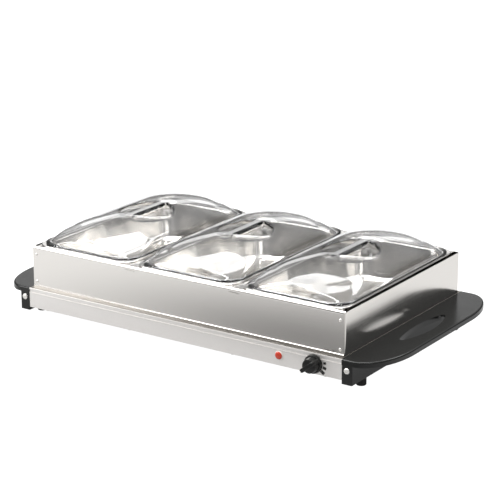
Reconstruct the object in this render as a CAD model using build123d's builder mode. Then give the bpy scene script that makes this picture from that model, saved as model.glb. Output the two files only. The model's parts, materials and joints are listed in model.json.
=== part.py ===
"""Three-pan electric buffet server, modelled in millimetres.

The base is a hot plate held between two aluminium rails, with a moulded handle
at each end. A riveted buffet frame stands on the plate and carries three pans,
each with a clear dome lid. The frame, the pans and the lids all lift off.

+Z is up and the front, with the lamp and the thermostat knob, faces -Y. The
origin is on the table, under the middle of the whole server's outline.
"""

from build123d import *
import math
import os

os.makedirs("parts", exist_ok=True)

# ---------------------------------------------------------------- driving sizes

# Buffet frame
FRAME_LENGTH = 555.0
FRAME_DEPTH = 333.6
FRAME_HEIGHT = 65.0
FRAME_SHEET = 0.8
FOLD_RADIUS = 4.0
LEDGE_WIDTH = 9.0
SIDE_WALL_DROP = 1.0
HEM_HEIGHT = 3.0
CORNER_BEND = 2.0
CORNER_FLANGE = 15.0
CORNER_GAP = 1.2
FRAME_END_GAP = 1.0
RIVET_DIAMETER = 4.8
RIVET_DOME = 1.4
RIVET_SHANK = 2.4
RIVET_TAIL = 3.6
RIVET_TAPER = 35.0
RIVET_INSET = 7.5
RIVET_EDGE = 9.0

# Cross bars between the pans
PAN_COUNT = 3
BAR_WIDTH = 18.0
BAR_HEIGHT = 12.0
BAR_TAB_THICKNESS = 1.6
BAR_TAB_PROUD = 0.9
BAR_TAB_DROP = 7.5

# Pans
PAN_SHEET = 0.8
PAN_RIM_WIDTH = 12.0
PAN_CURL = 1.8
PAN_CORNER = 20.0
PAN_WELL_CORNER = 24.0
PAN_SLOPE = 9.0
PAN_FLOOR_FILLET = 8.0
PAN_SIDE_GAP = 9.0
PAN_END_GAP = 4.3
PAN_FLOOR_GAP = 5.0

# Lids
LID_WALL = 2.0
LID_HEIGHT = 33.0
LID_FLANGE = 2.0
LID_INSET = 2.0
LID_FLANGE_SIDE = 3.6
LID_FLANGE_END = 8.0
LID_CORNER = 30.0
GRIP_RADIUS = 42.5
GRIP_DEPTH = 10.5
GRIP_RIDGE = 12.0

# Base
DECK_MARGIN = 9.5
PLATE_SHEET = 1.2
RAIL_HEIGHT = 30.5
RAIL_LIP = 0.5
RAIL_WALL = 1.8
RAIL_LEDGE = 12.0
RAIL_TOP_BAND = 2.0
RAIL_GROOVE = 4.5
RAIL_GROOVE_DEPTH = 0.8
RAIL_RIDGE = 1.5
RAIL_FACE_STEP = 0.5
COVER_SHEET = 1.0
COVER_INSET = 4.0
COVER_SCREW_INSET = 30.0
VENT_LENGTH = 46.0
VENT_WIDTH = 4.0
VENT_ROWS = 7
VENT_PITCH = 10.0

# Handles and feet
BLOCK_THICKNESS = 17.0
BLOCK_DROP = 5.0
BLOCK_PROUD = 0.5
BLOCK_EDGE = 1.5
HANDLE_REACH = 64.5
HANDLE_THICKNESS = 8.0
HANDLE_CORNER = 90.0
HANDLE_EDGE = 2.5
HANDLE_WALL = 3.0
SLOT_LENGTH = 144.0
SLOT_RIM = 19.0
SLOT_INSET = 1.5
SLOT_TIP_SHIFT = 10.0
SLOT_TIP_RADIUS = 4.0
FOOT_DIAMETER = 15.0
FOOT_HEIGHT = 12.0
FOOT_INSET = 40.0
FOOT_CHAMFER = 1.0

# Controls
KNOB_INSET = 44.5
KNOB_DIAMETER = 28.0
KNOB_HEIGHT = 20.0
KNOB_SKIRT = 4.5
KNOB_BAR_WIDTH = 8.0
KNOB_BAR_ANGLE = 218.0
KNOB_GAP = 0.8
SHAFT_DIAMETER = 6.0
SHAFT_FLAT = 1.5
LAMP_INSET = 102.5
LAMP_DIAMETER = 11.4
LAMP_BEZEL = 13.4
LAMP_PROUD = 2.2

# Heating
ELEMENT_DIAMETER = 6.5
ELEMENT_RUNS = 4
ELEMENT_SIDE_GAP = 77.3
ELEMENT_END_GAP = 43.5
TRAY_SHEET = 0.6
TRAY_DEPTH = 9.0
TRAY_MARGIN = 22.0
PAD_THICKNESS = 6.0

# Wiring and its entry
CORD_BORE = 7.4
GLAND_MARGIN = 1.25
GLAND_SHOULDER = 2.5
GLAND_REACH = 5.0
GLAND_INSET = 53.5
LEAD_DIAMETER = 2.6

# Screws: their heads are drawn with a small taper
SCREW_HEAD = 9.0
SCREW_HEAD_HEIGHT = 2.2
SCREW_SHANK = 4.0
HEAD_TAPER = 14.0
SCREW_TAIL = 2.5
COVER_SCREW_HEAD = 6.5
COVER_SCREW_HEAD_HEIGHT = 1.8
COVER_SCREW_SHANK = 3.0

# Clearances
SLIP = 0.3
SNUG = 0.1
RUNNING = 0.05

# ---------------------------------------------------------------- derived places

BASE_LENGTH = FRAME_LENGTH + 2 * FRAME_END_GAP
BASE_DEPTH = FRAME_DEPTH + 2 * DECK_MARGIN
KNOB_REACH = KNOB_GAP + KNOB_HEIGHT
MIDDLE_Y = (KNOB_REACH - GLAND_REACH) / 2

BLOCK_HEIGHT = RAIL_LIP + RAIL_HEIGHT + BLOCK_DROP
DECK_Z = FOOT_HEIGHT + BLOCK_HEIGHT
PLATE_UNDER = DECK_Z - PLATE_SHEET
RAIL_TOP = DECK_Z - RAIL_LIP
RAIL_BOTTOM = RAIL_TOP - RAIL_HEIGHT
CONTROL_Z = (RAIL_TOP + RAIL_BOTTOM) / 2
RAIL_FLAT_TOP = RAIL_TOP - RAIL_TOP_BAND - RAIL_GROOVE - RAIL_RIDGE
GLAND_Z = (RAIL_FLAT_TOP + RAIL_BOTTOM) / 2
GLAND_FLANGE = RAIL_FLAT_TOP - RAIL_BOTTOM - 2 * GLAND_MARGIN
GLAND_BODY = GLAND_FLANGE - 2 * GLAND_SHOULDER
COVER_TOP = RAIL_BOTTOM

RAIL_FACE = BASE_DEPTH / 2
RAIL_BACK = RAIL_FACE - RAIL_WALL
BASE_END = BASE_LENGTH / 2
BLOCK_END = BASE_END + BLOCK_THICKNESS
BLOCK_MIDDLE = BASE_END + BLOCK_THICKNESS / 2
BLOCK_FACE = RAIL_FACE + BLOCK_PROUD
HANDLE_TIP = BASE_END + HANDLE_REACH
KNOB_X = BASE_END - KNOB_INSET
LAMP_X = BASE_END - LAMP_INSET
GLAND_X = BASE_END - GLAND_INSET

PAN_PITCH = FRAME_LENGTH / PAN_COUNT
PAN_CENTRES = [(i - (PAN_COUNT - 1) / 2) * PAN_PITCH for i in range(PAN_COUNT)]
BAR_CENTRES = [x + PAN_PITCH / 2 for x in PAN_CENTRES[:-1]]
REST_Z = DECK_Z + FRAME_HEIGHT
RIM_HALF_X = (PAN_PITCH - PAN_SIDE_GAP) / 2
RIM_HALF_Y = FRAME_DEPTH / 2 - PAN_END_GAP
WELL_HALF_X = RIM_HALF_X - PAN_RIM_WIDTH
WELL_HALF_Y = RIM_HALF_Y - PAN_RIM_WIDTH
RIM_TOP = REST_Z + PAN_CURL
PAN_BOTTOM = DECK_Z + PAN_FLOOR_GAP

LID_HALF_X = RIM_HALF_X - LID_INSET
LID_HALF_Y = RIM_HALF_Y - LID_INSET
DOME_HALF_X = LID_HALF_X - LID_FLANGE_SIDE
DOME_HALF_Y = LID_HALF_Y - LID_FLANGE_END
LID_BASE = RIM_TOP
LID_TOP = LID_BASE + LID_HEIGHT

TRAY_BOTTOM = PLATE_UNDER - TRAY_DEPTH
ELEMENT_Z = PLATE_UNDER - ELEMENT_DIAMETER / 2
ELEMENT_LENGTH = BASE_LENGTH - 2 * ELEMENT_END_GAP
ELEMENT_PITCH = 2 * (RAIL_FACE - ELEMENT_SIDE_GAP) / (ELEMENT_RUNS - 1)


# ---------------------------------------------------------------- planes and helpers

def level(z, x=0.0):
    """A horizontal plane at height z, centred over the base."""
    return Plane(origin=(x, MIDDLE_Y, z))


def end_section(x):
    """A plane across the server at x: sketch x is +Y from the middle, sketch y is +Z."""
    return Plane(origin=(x, MIDDLE_Y, 0), x_dir=(0, 1, 0), z_dir=(1, 0, 0))


def facing_front(y, x=0.0, z=0.0):
    """An upright plane that faces the front, y from the middle: sketch y is +Z."""
    return Plane(origin=(x, MIDDLE_Y + y, z), x_dir=(1, 0, 0), z_dir=(0, -1, 0))


def facing_rear(y, x=0.0, z=0.0):
    """An upright plane that faces the rear, y from the middle: sketch y is +Z."""
    return Plane(origin=(x, MIDDLE_Y + y, z), x_dir=(-1, 0, 0), z_dir=(0, 1, 0))


FRONT_TO_REAR = Plane(origin=(0, MIDDLE_Y, 0), x_dir=(1, 0, 0), z_dir=(0, 1, 0))


def write(piece, name):
    """Label a finished piece and write it as one STEP file."""
    piece.part.label = name
    export_step(piece.part, f"parts/{name}.step")


def write_mirrored(piece, name, about):
    """Write the mirror image of a finished piece as a piece of its own."""
    with BuildPart() as other:
        mirror(piece.part, about=about)
    write(other, name)


# ---------------------------------------------------------------- hot plate and rails

with BuildPart() as hot_plate:
    with BuildSketch(level(PLATE_UNDER)):
        Rectangle(BASE_LENGTH - 2 * SLIP, 2 * (RAIL_BACK - SLIP))
    extrude(amount=PLATE_SHEET)
write(hot_plate, "hot_plate")


def rail_outline():
    """The rail's section: a grooved face, a ledge for the plate and a foot flange."""
    groove = RAIL_FACE - RAIL_GROOVE_DEPTH
    face = RAIL_FACE - RAIL_FACE_STEP
    ledge_end = RAIL_BACK - RAIL_LEDGE
    z_groove = RAIL_TOP - RAIL_TOP_BAND
    z_ridge = z_groove - RAIL_GROOVE
    return [
        (-RAIL_FACE, RAIL_TOP),
        (-RAIL_FACE, z_groove),
        (-groove, z_groove),
        (-groove, z_ridge),
        (-RAIL_FACE, z_ridge),
        (-RAIL_FACE, RAIL_FLAT_TOP),
        (-face, RAIL_FLAT_TOP),
        (-face, RAIL_BOTTOM),
        (-ledge_end, RAIL_BOTTOM),
        (-ledge_end, RAIL_BOTTOM + RAIL_WALL),
        (-RAIL_BACK, RAIL_BOTTOM + RAIL_WALL),
        (-RAIL_BACK, PLATE_UNDER - RAIL_WALL),
        (-ledge_end, PLATE_UNDER - RAIL_WALL),
        (-ledge_end, PLATE_UNDER),
        (-RAIL_BACK, PLATE_UNDER),
        (-RAIL_BACK, RAIL_TOP),
    ]


COVER_SCREW_END = BASE_END - COVER_SCREW_INSET
COVER_SCREW_X = [-COVER_SCREW_END, -BASE_END / 3, BASE_END / 3, COVER_SCREW_END]
COVER_SCREW_Y = RAIL_BACK - RAIL_LEDGE / 2
COVER_SCREWS = [(x, y) for x in COVER_SCREW_X for y in (-COVER_SCREW_Y, COVER_SCREW_Y)]

with BuildPart() as plain_rail:
    with BuildSketch(end_section(-BASE_END)):
        with BuildLine():
            Polyline(rail_outline(), close=True)
        make_face()
    extrude(amount=BASE_LENGTH)
    with BuildSketch(level(RAIL_BOTTOM)):
        with Locations([(x, -COVER_SCREW_Y) for x in COVER_SCREW_X]):
            Circle(COVER_SCREW_SHANK / 2 + RUNNING)
    extrude(amount=RAIL_WALL, mode=Mode.SUBTRACT)

THERMOSTAT_SCREW_OFFSET = 10.0
THERMOSTAT_SCREW_HEAD = 5.4
THERMOSTAT_SCREW_SHANK = 3.0
LAMP_SEAT = 1.0
LAMP_SHELL = LAMP_DIAMETER - 2 * LAMP_SEAT

with BuildPart() as front_rail:
    add(plain_rail.part)
    with BuildSketch(facing_front(-RAIL_BACK, KNOB_X, CONTROL_Z)):
        Circle(SHAFT_DIAMETER / 2 + SLIP)
        with Locations((-THERMOSTAT_SCREW_OFFSET, 0), (THERMOSTAT_SCREW_OFFSET, 0)):
            Circle(THERMOSTAT_SCREW_SHANK / 2 + RUNNING)
    extrude(amount=RAIL_WALL, mode=Mode.SUBTRACT)
    with BuildSketch(facing_front(-RAIL_BACK, LAMP_X, CONTROL_Z)):
        Circle(LAMP_SHELL / 2 + SNUG)
    extrude(amount=RAIL_WALL, mode=Mode.SUBTRACT)
write(front_rail, "front_rail")

with BuildPart() as rear_rail:
    mirror(plain_rail.part, about=FRONT_TO_REAR)
    with BuildSketch(facing_rear(RAIL_BACK, GLAND_X, GLAND_Z)):
        Circle(GLAND_BODY / 2 + SNUG)
    extrude(amount=RAIL_WALL, mode=Mode.SUBTRACT)
write(rear_rail, "rear_rail")

# ---------------------------------------------------------------- bottom cover

with BuildPart() as bottom_cover:
    with BuildSketch(level(COVER_TOP - COVER_SHEET)):
        Rectangle(BASE_LENGTH - 2 * SLIP, 2 * (RAIL_FACE - COVER_INSET))
        with Locations(COVER_SCREWS):
            Circle(COVER_SCREW_SHANK / 2 + SNUG, mode=Mode.SUBTRACT)
        with Locations((-BASE_LENGTH / 4, 0), (BASE_LENGTH / 4, 0)):
            with GridLocations(VENT_LENGTH + VENT_PITCH, VENT_PITCH, 2, VENT_ROWS):
                SlotOverall(VENT_LENGTH, VENT_WIDTH, mode=Mode.SUBTRACT)
    extrude(amount=COVER_SHEET)
write(bottom_cover, "bottom_cover")

with BuildPart() as bottom_cover_screws:
    with BuildSketch(level(COVER_TOP - COVER_SHEET)):
        with Locations(COVER_SCREWS):
            Circle(COVER_SCREW_SHANK / 2)
    extrude(amount=COVER_SHEET + RAIL_WALL + SCREW_TAIL)
    with BuildSketch(level(COVER_TOP - COVER_SHEET)):
        with Locations(COVER_SCREWS):
            Circle(COVER_SCREW_HEAD / 2)
    extrude(amount=-COVER_SCREW_HEAD_HEIGHT, taper=HEAD_TAPER)
write(bottom_cover_screws, "bottom_cover_screws")

# ---------------------------------------------------------------- handles

BLOCK_BOTTOM = DECK_Z - BLOCK_HEIGHT
SLOT_EDGE = BLOCK_END + SLOT_INSET
FEET_Y = [-(BLOCK_FACE - FOOT_INSET), BLOCK_FACE - FOOT_INSET]
FOOT_SCREW_SHANK = 3.5
FOOT_BOSS = 9.0
FOOT_BOSS_HEIGHT = 12.0
SLOT_OUTER = HANDLE_TIP - SLOT_RIM


def handle_outline(inset):
    """The handle's plan: straight sides with a long elliptical corner at each end."""
    tip = HANDLE_TIP - inset
    side = BLOCK_FACE - inset
    corner = HANDLE_CORNER - inset
    reach = tip - BLOCK_END
    with BuildLine() as plan:
        Line((BASE_END, -side), (BLOCK_END, -side))
        EllipticalCenterArc((BLOCK_END, corner - side), reach, corner, 270, arc_size=90)
        Line((tip, corner - side), (tip, side - corner))
        EllipticalCenterArc((BLOCK_END, side - corner), reach, corner, 0, arc_size=90)
        Line((BLOCK_END, side), (BASE_END, side))
        Line((BASE_END, side), (BASE_END, -side))
    make_face(plan.edges())


def slot_outline(grow, mode):
    """The hand slot's plan: two arcs that meet in rounded tips."""
    tip_y = SLOT_LENGTH / 2 + grow
    tip_x = SLOT_EDGE + SLOT_TIP_SHIFT
    with BuildSketch(mode=Mode.PRIVATE) as slot:
        with BuildLine() as lens:
            ThreePointArc((tip_x, -tip_y), (SLOT_OUTER + grow, 0), (tip_x, tip_y))
            ThreePointArc((tip_x, tip_y), (SLOT_EDGE - grow, 0), (tip_x, -tip_y))
        make_face(lens.edges())
        fillet(slot.vertices(), radius=SLOT_TIP_RADIUS + grow)
    add(slot.sketch, mode=mode)


with BuildPart() as right_handle:
    with BuildSketch(level(DECK_Z - HANDLE_THICKNESS)):
        handle_outline(0)
    extrude(amount=HANDLE_THICKNESS)
    top_edges = right_handle.edges().group_by(Axis.Z)[-1]
    fillet(top_edges.filter_by(lambda edge: edge.center().X > BASE_END + SLIP), radius=HANDLE_EDGE)
    with BuildSketch(level(BLOCK_BOTTOM)):
        with Locations((BLOCK_MIDDLE, 0)):
            RectangleRounded(BLOCK_THICKNESS, 2 * BLOCK_FACE, BLOCK_EDGE)
    extrude(amount=BLOCK_HEIGHT - HANDLE_THICKNESS)
    # The underside of the handle is hollow, with a rim and a wall round the slot.
    with BuildSketch(level(DECK_Z - HANDLE_THICKNESS)):
        handle_outline(HANDLE_WALL)
        with Locations((BLOCK_MIDDLE, 0)):
            Rectangle(BLOCK_THICKNESS + 2 * SNUG, 2 * BLOCK_FACE, mode=Mode.SUBTRACT)
        slot_outline(HANDLE_WALL, Mode.SUBTRACT)
    extrude(amount=HANDLE_THICKNESS - HANDLE_WALL, mode=Mode.SUBTRACT)
    with BuildSketch(level(DECK_Z - HANDLE_THICKNESS)):
        slot_outline(0, Mode.ADD)
    extrude(amount=HANDLE_THICKNESS, mode=Mode.SUBTRACT)
    # The block is a shell that opens towards the base.
    with BuildSketch(level(BLOCK_BOTTOM + HANDLE_WALL)):
        with Locations((BLOCK_MIDDLE - HANDLE_WALL, 0)):
            Rectangle(BLOCK_THICKNESS, 2 * (BLOCK_FACE - HANDLE_WALL))
    extrude(amount=BLOCK_HEIGHT - 2 * HANDLE_WALL, mode=Mode.SUBTRACT)
    with BuildSketch(level(BLOCK_BOTTOM + HANDLE_WALL)):
        with Locations([(BLOCK_MIDDLE, y) for y in FEET_Y]):
            Circle(FOOT_BOSS / 2)
    extrude(amount=FOOT_BOSS_HEIGHT)
    with BuildSketch(level(BLOCK_BOTTOM)):
        with Locations([(BLOCK_MIDDLE, y) for y in FEET_Y]):
            Circle(FOOT_SCREW_SHANK / 2)
    extrude(amount=FOOT_BOSS_HEIGHT, mode=Mode.SUBTRACT)
    for y, plane_at in ((-BLOCK_FACE, facing_front), (BLOCK_FACE, facing_rear)):
        with BuildSketch(plane_at(y, BLOCK_MIDDLE, CONTROL_Z)):
            Circle(SCREW_SHANK / 2 + SNUG)
        extrude(amount=-HANDLE_WALL, mode=Mode.SUBTRACT)
write(right_handle, "right_handle")
write_mirrored(right_handle, "left_handle", Plane.YZ)

# ---------------------------------------------------------------- end brackets and handle screws

BRACKET_SHEET = 1.5
BRACKET_GAP = 0.5
BRACKET_TAB_HEIGHT = 18.0
BRACKET_REACH = BLOCK_THICKNESS - HANDLE_WALL - BRACKET_GAP

with BuildPart() as right_end_bracket:
    bracket_low = RAIL_BOTTOM + RAIL_WALL + SLIP
    bracket_high = PLATE_UNDER - RAIL_WALL - SLIP
    with BuildSketch(level(bracket_low)):
        with Locations((BASE_END - BRACKET_SHEET / 2, 0)):
            Rectangle(BRACKET_SHEET, 2 * (RAIL_BACK - RAIL_LEDGE - SLIP))
    extrude(amount=bracket_high - bracket_low)
    # A strap from the web passes behind each end of the block and carries its screw.
    for turn, plane_at in ((-1, facing_front), (1, facing_rear)):
        tab_face = BLOCK_FACE - HANDLE_WALL
        with BuildSketch(level(CONTROL_Z - BRACKET_TAB_HEIGHT / 2)):
            with Locations((BASE_END + BRACKET_REACH / 2, turn * (tab_face - BRACKET_SHEET / 2))):
                Rectangle(BRACKET_REACH, BRACKET_SHEET)
            strap_inner = RAIL_BACK - RAIL_LEDGE - SLIP
            strap_length = tab_face - strap_inner + BRACKET_SHEET
            with Locations((BASE_END + BRACKET_SHEET / 2, turn * (tab_face - strap_length / 2))):
                Rectangle(BRACKET_SHEET, strap_length)
        extrude(amount=BRACKET_TAB_HEIGHT)
        with BuildSketch(plane_at(turn * tab_face, BLOCK_MIDDLE, CONTROL_Z)):
            Circle(SCREW_SHANK / 2 + RUNNING)
        extrude(amount=-BRACKET_SHEET, mode=Mode.SUBTRACT)
write(right_end_bracket, "right_end_bracket")
write_mirrored(right_end_bracket, "left_end_bracket", Plane.YZ)

with BuildPart() as handle_screws:
    for y, plane_at in ((-BLOCK_FACE, facing_front), (BLOCK_FACE, facing_rear)):
        for x in (-BLOCK_MIDDLE, BLOCK_MIDDLE):
            with BuildSketch(plane_at(y, x, CONTROL_Z)):
                Circle(SCREW_HEAD / 2)
            extrude(amount=SCREW_HEAD_HEIGHT, taper=HEAD_TAPER)
            with BuildSketch(plane_at(y, x, CONTROL_Z)):
                Circle(SCREW_SHANK / 2)
            extrude(amount=-(HANDLE_WALL + BRACKET_SHEET + SCREW_TAIL))
write(handle_screws, "handle_screws")

# ---------------------------------------------------------------- feet

FOOT_RECESS = 4.5
FOOT_SCREW_HEAD = 7.0
FOOT_SCREW_HEAD_HEIGHT = 2.5
FOOT_SCREW_END = 6.0

FOOT_PLACES = [(x, y) for x in (-BLOCK_MIDDLE, BLOCK_MIDDLE) for y in FEET_Y]

with BuildPart() as feet:
    with BuildSketch(level(0)):
        with Locations(FOOT_PLACES):
            Circle(FOOT_DIAMETER / 2 - FOOT_CHAMFER)
    extrude(amount=FOOT_CHAMFER, taper=-45)
    with BuildSketch(level(FOOT_CHAMFER)):
        with Locations(FOOT_PLACES):
            Circle(FOOT_DIAMETER / 2)
    extrude(amount=FOOT_HEIGHT - FOOT_CHAMFER)
    with BuildSketch(level(0)):
        with Locations(FOOT_PLACES):
            Circle(FOOT_SCREW_HEAD / 2 + SLIP)
    extrude(amount=FOOT_RECESS, mode=Mode.SUBTRACT)
    with BuildSketch(level(FOOT_RECESS)):
        with Locations(FOOT_PLACES):
            Circle(FOOT_SCREW_SHANK / 2 + SNUG)
    extrude(amount=FOOT_HEIGHT - FOOT_RECESS, mode=Mode.SUBTRACT)
write(feet, "feet")

with BuildPart() as foot_screws:
    with BuildSketch(level(FOOT_RECESS - FOOT_SCREW_HEAD_HEIGHT)):
        with Locations(FOOT_PLACES):
            Circle(FOOT_SCREW_HEAD / 2)
    extrude(amount=FOOT_SCREW_HEAD_HEIGHT)
    with BuildSketch(level(FOOT_RECESS)):
        with Locations(FOOT_PLACES):
            Circle(FOOT_SCREW_SHANK / 2 - RUNNING)
    extrude(amount=FOOT_HEIGHT - FOOT_RECESS + HANDLE_WALL + FOOT_SCREW_END)
write(foot_screws, "foot_screws")

# ---------------------------------------------------------------- heating

ELEMENT_BEND = ELEMENT_PITCH / 2
ELEMENT_ROWS = [(i - (ELEMENT_RUNS - 1) / 2) * ELEMENT_PITCH for i in range(ELEMENT_RUNS)]
ELEMENT_LEFT = -ELEMENT_LENGTH / 2
ELEMENT_RIGHT = ELEMENT_LENGTH / 2 - ELEMENT_BEND
TRAY_HALF_X = ELEMENT_LENGTH / 2 + TRAY_MARGIN / 2
TRAY_HALF_Y = ELEMENT_ROWS[-1] + TRAY_MARGIN
TERMINAL_PROUD = 8.0
TERMINAL_END = TRAY_HALF_X + TERMINAL_PROUD
CLIP_SHEET = 0.8
CLIP_LENGTH = 12.0
CLIP_FOOT = 6.0

with BuildPart() as heating_element:
    with BuildLine(level(ELEMENT_Z)) as element_path:
        # Runs go to and fro, joined by half turns at the left, the right, then the left.
        turn_left = ELEMENT_LEFT + ELEMENT_BEND
        Line((TERMINAL_END, ELEMENT_ROWS[0]), (turn_left, ELEMENT_ROWS[0]))
        for i in range(ELEMENT_RUNS - 1):
            goes_left = i % 2 == 0
            bend_x = turn_left if goes_left else ELEMENT_RIGHT
            out_x = ELEMENT_LEFT if goes_left else ELEMENT_RIGHT + ELEMENT_BEND
            last = i == ELEMENT_RUNS - 2
            run_end = TERMINAL_END if last else (ELEMENT_RIGHT if goes_left else turn_left)
            middle = (ELEMENT_ROWS[i] + ELEMENT_ROWS[i + 1]) / 2
            ThreePointArc((bend_x, ELEMENT_ROWS[i]), (out_x, middle), (bend_x, ELEMENT_ROWS[i + 1]))
            Line((bend_x, ELEMENT_ROWS[i + 1]), (run_end, ELEMENT_ROWS[i + 1]))
    with BuildSketch(Plane(origin=element_path.line @ 0, z_dir=element_path.line % 0)):
        Circle(ELEMENT_DIAMETER / 2)
    sweep()
write(heating_element, "heating_element")

CLIP_X = [-BASE_END / 2, 0.0, BASE_END / 2]
CLIP_RADIUS = ELEMENT_DIAMETER / 2 + SNUG

with BuildPart() as element_clips:
    for x in CLIP_X:
        for y in ELEMENT_ROWS:
            with BuildSketch(end_section(x - CLIP_LENGTH / 2)):
                with Locations((y, ELEMENT_Z)):
                    Circle(CLIP_RADIUS + CLIP_SHEET)
                with Locations((y, (ELEMENT_Z + PLATE_UNDER) / 2)):
                    Rectangle(2 * (CLIP_RADIUS + CLIP_SHEET), PLATE_UNDER - ELEMENT_Z)
                with Locations((y, PLATE_UNDER - CLIP_SHEET / 2)):
                    Rectangle(2 * (CLIP_RADIUS + CLIP_SHEET + CLIP_FOOT), CLIP_SHEET)
                with Locations((y, PLATE_UNDER + CLIP_RADIUS)):
                    Rectangle(4 * CLIP_RADIUS, 2 * CLIP_RADIUS, mode=Mode.SUBTRACT)
                with Locations((y, ELEMENT_Z)):
                    Circle(CLIP_RADIUS, mode=Mode.SUBTRACT)
                with Locations((y, (ELEMENT_Z + PLATE_UNDER) / 2)):
                    Rectangle(2 * CLIP_RADIUS, PLATE_UNDER - ELEMENT_Z, mode=Mode.SUBTRACT)
            extrude(amount=CLIP_LENGTH)
write(element_clips, "element_clips")

with BuildPart() as heat_reflector:
    with BuildSketch(level(TRAY_BOTTOM)):
        Rectangle(2 * TRAY_HALF_X, 2 * TRAY_HALF_Y)
    extrude(amount=TRAY_DEPTH)
    with BuildSketch(level(TRAY_BOTTOM + TRAY_SHEET)):
        Rectangle(2 * (TRAY_HALF_X - TRAY_SHEET), 2 * (TRAY_HALF_Y - TRAY_SHEET))
    extrude(amount=TRAY_DEPTH, mode=Mode.SUBTRACT)
    for y in (ELEMENT_ROWS[0], ELEMENT_ROWS[-1]):
        with BuildSketch(end_section(TRAY_HALF_X)):
            with Locations((y, ELEMENT_Z)):
                Circle(ELEMENT_DIAMETER / 2 + SLIP)
        extrude(amount=-2 * TRAY_SHEET, mode=Mode.SUBTRACT)
write(heat_reflector, "heat_reflector")

with BuildPart() as insulation_pad:
    with BuildSketch(level(TRAY_BOTTOM - PAD_THICKNESS)):
        Rectangle(2 * TRAY_HALF_X - TRAY_MARGIN / 2, 2 * TRAY_HALF_Y - TRAY_MARGIN / 2)
    extrude(amount=PAD_THICKNESS)
write(insulation_pad, "insulation_pad")

# ---------------------------------------------------------------- thermostat and knob

THERMOSTAT_WIDTH = 30.0
THERMOSTAT_DEPTH = 20.0
THERMOSTAT_GAP = 2.1
THERMOSTAT_SHEET = 1.2
THERMOSTAT_EAR = 3.0
THERMOSTAT_EDGE = 2.0
THERMOSTAT_SCREW_HEIGHT = 0.7
THERMOSTAT_SCREW_LENGTH = 9.0
SHAFT_INSIDE = 12.0
THERMOSTAT_FACE = RAIL_BACK - THERMOSTAT_SHEET
RAIL_CLEAR_HEIGHT = PLATE_UNDER - RAIL_BOTTOM - 2 * RAIL_WALL
THERMOSTAT_HEIGHT = RAIL_CLEAR_HEIGHT - 2 * THERMOSTAT_GAP
TAB_X = 8.0
TAB_BLADE_WIDTH = 6.3
TAB_BLADE_SHEET = 0.8
TAB_BLADE_LENGTH = 7.0
KNOB_BACK = RAIL_FACE + KNOB_GAP
KNOB_BORE_DEPTH = 13.0
KNOB_HUB_INSET = 2.5
KNOB_HUB_DROP = 6.0
KNOB_DRAFT = 8.0
KNOB_BAR_DRAFT = 4.0
KNOB_EDGE = 1.0

with BuildPart() as thermostat_bracket:
    with BuildSketch(facing_front(-THERMOSTAT_FACE, KNOB_X, CONTROL_Z)):
        Rectangle(THERMOSTAT_WIDTH + 2 * THERMOSTAT_EAR, THERMOSTAT_HEIGHT)
        Circle(SHAFT_DIAMETER / 2 + SLIP, mode=Mode.SUBTRACT)
        with Locations((-THERMOSTAT_SCREW_OFFSET, 0), (THERMOSTAT_SCREW_OFFSET, 0)):
            Circle(THERMOSTAT_SCREW_SHANK / 2 + RUNNING, mode=Mode.SUBTRACT)
    extrude(amount=THERMOSTAT_SHEET)
write(thermostat_bracket, "thermostat_bracket")

with BuildPart() as thermostat_body:
    with BuildSketch(facing_front(-THERMOSTAT_FACE, KNOB_X, CONTROL_Z)):
        RectangleRounded(THERMOSTAT_WIDTH, THERMOSTAT_HEIGHT - THERMOSTAT_EDGE, THERMOSTAT_EDGE)
    extrude(amount=-THERMOSTAT_DEPTH)
    with BuildSketch(facing_front(-THERMOSTAT_FACE, KNOB_X, CONTROL_Z)):
        Circle(SHAFT_DIAMETER / 2 + RUNNING)
        with Locations((-THERMOSTAT_SCREW_OFFSET, 0), (THERMOSTAT_SCREW_OFFSET, 0)):
            Circle(THERMOSTAT_SCREW_SHANK / 2 + RUNNING)
    extrude(amount=-SHAFT_INSIDE - SLIP, mode=Mode.SUBTRACT)
    # Two flat contact tabs for the leads.
    with BuildSketch(facing_front(-THERMOSTAT_FACE + THERMOSTAT_DEPTH, KNOB_X, CONTROL_Z)):
        with Locations((-TAB_X, 0), (TAB_X, 0)):
            Rectangle(TAB_BLADE_SHEET, TAB_BLADE_WIDTH)
    extrude(amount=-TAB_BLADE_LENGTH)
write(thermostat_body, "thermostat_body")

with BuildPart() as thermostat_screws:
    for x in (KNOB_X - THERMOSTAT_SCREW_OFFSET, KNOB_X + THERMOSTAT_SCREW_OFFSET):
        screw_face = RAIL_FACE - RAIL_FACE_STEP
        with BuildSketch(facing_front(-screw_face, x, CONTROL_Z)):
            Circle(THERMOSTAT_SCREW_HEAD / 2)
        extrude(amount=THERMOSTAT_SCREW_HEIGHT, taper=2 * HEAD_TAPER)
        with BuildSketch(facing_front(-screw_face, x, CONTROL_Z)):
            Circle(THERMOSTAT_SCREW_SHANK / 2)
        extrude(amount=-THERMOSTAT_SCREW_LENGTH)
write(thermostat_screws, "thermostat_screws")

with BuildPart() as thermostat_shaft:
    with BuildSketch(facing_front(-THERMOSTAT_FACE + SHAFT_INSIDE, KNOB_X, CONTROL_Z)):
        Circle(SHAFT_DIAMETER / 2)
    extrude(amount=SHAFT_INSIDE + KNOB_BACK - THERMOSTAT_FACE)
    with BuildSketch(facing_front(-KNOB_BACK, KNOB_X, CONTROL_Z)):
        Circle(SHAFT_DIAMETER / 2)
        with Locations((0, SHAFT_DIAMETER - SHAFT_FLAT)):
            Rectangle(SHAFT_DIAMETER, SHAFT_DIAMETER, mode=Mode.SUBTRACT)
    extrude(amount=KNOB_BORE_DEPTH - SLIP)
write(thermostat_shaft, "thermostat_shaft")

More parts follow.
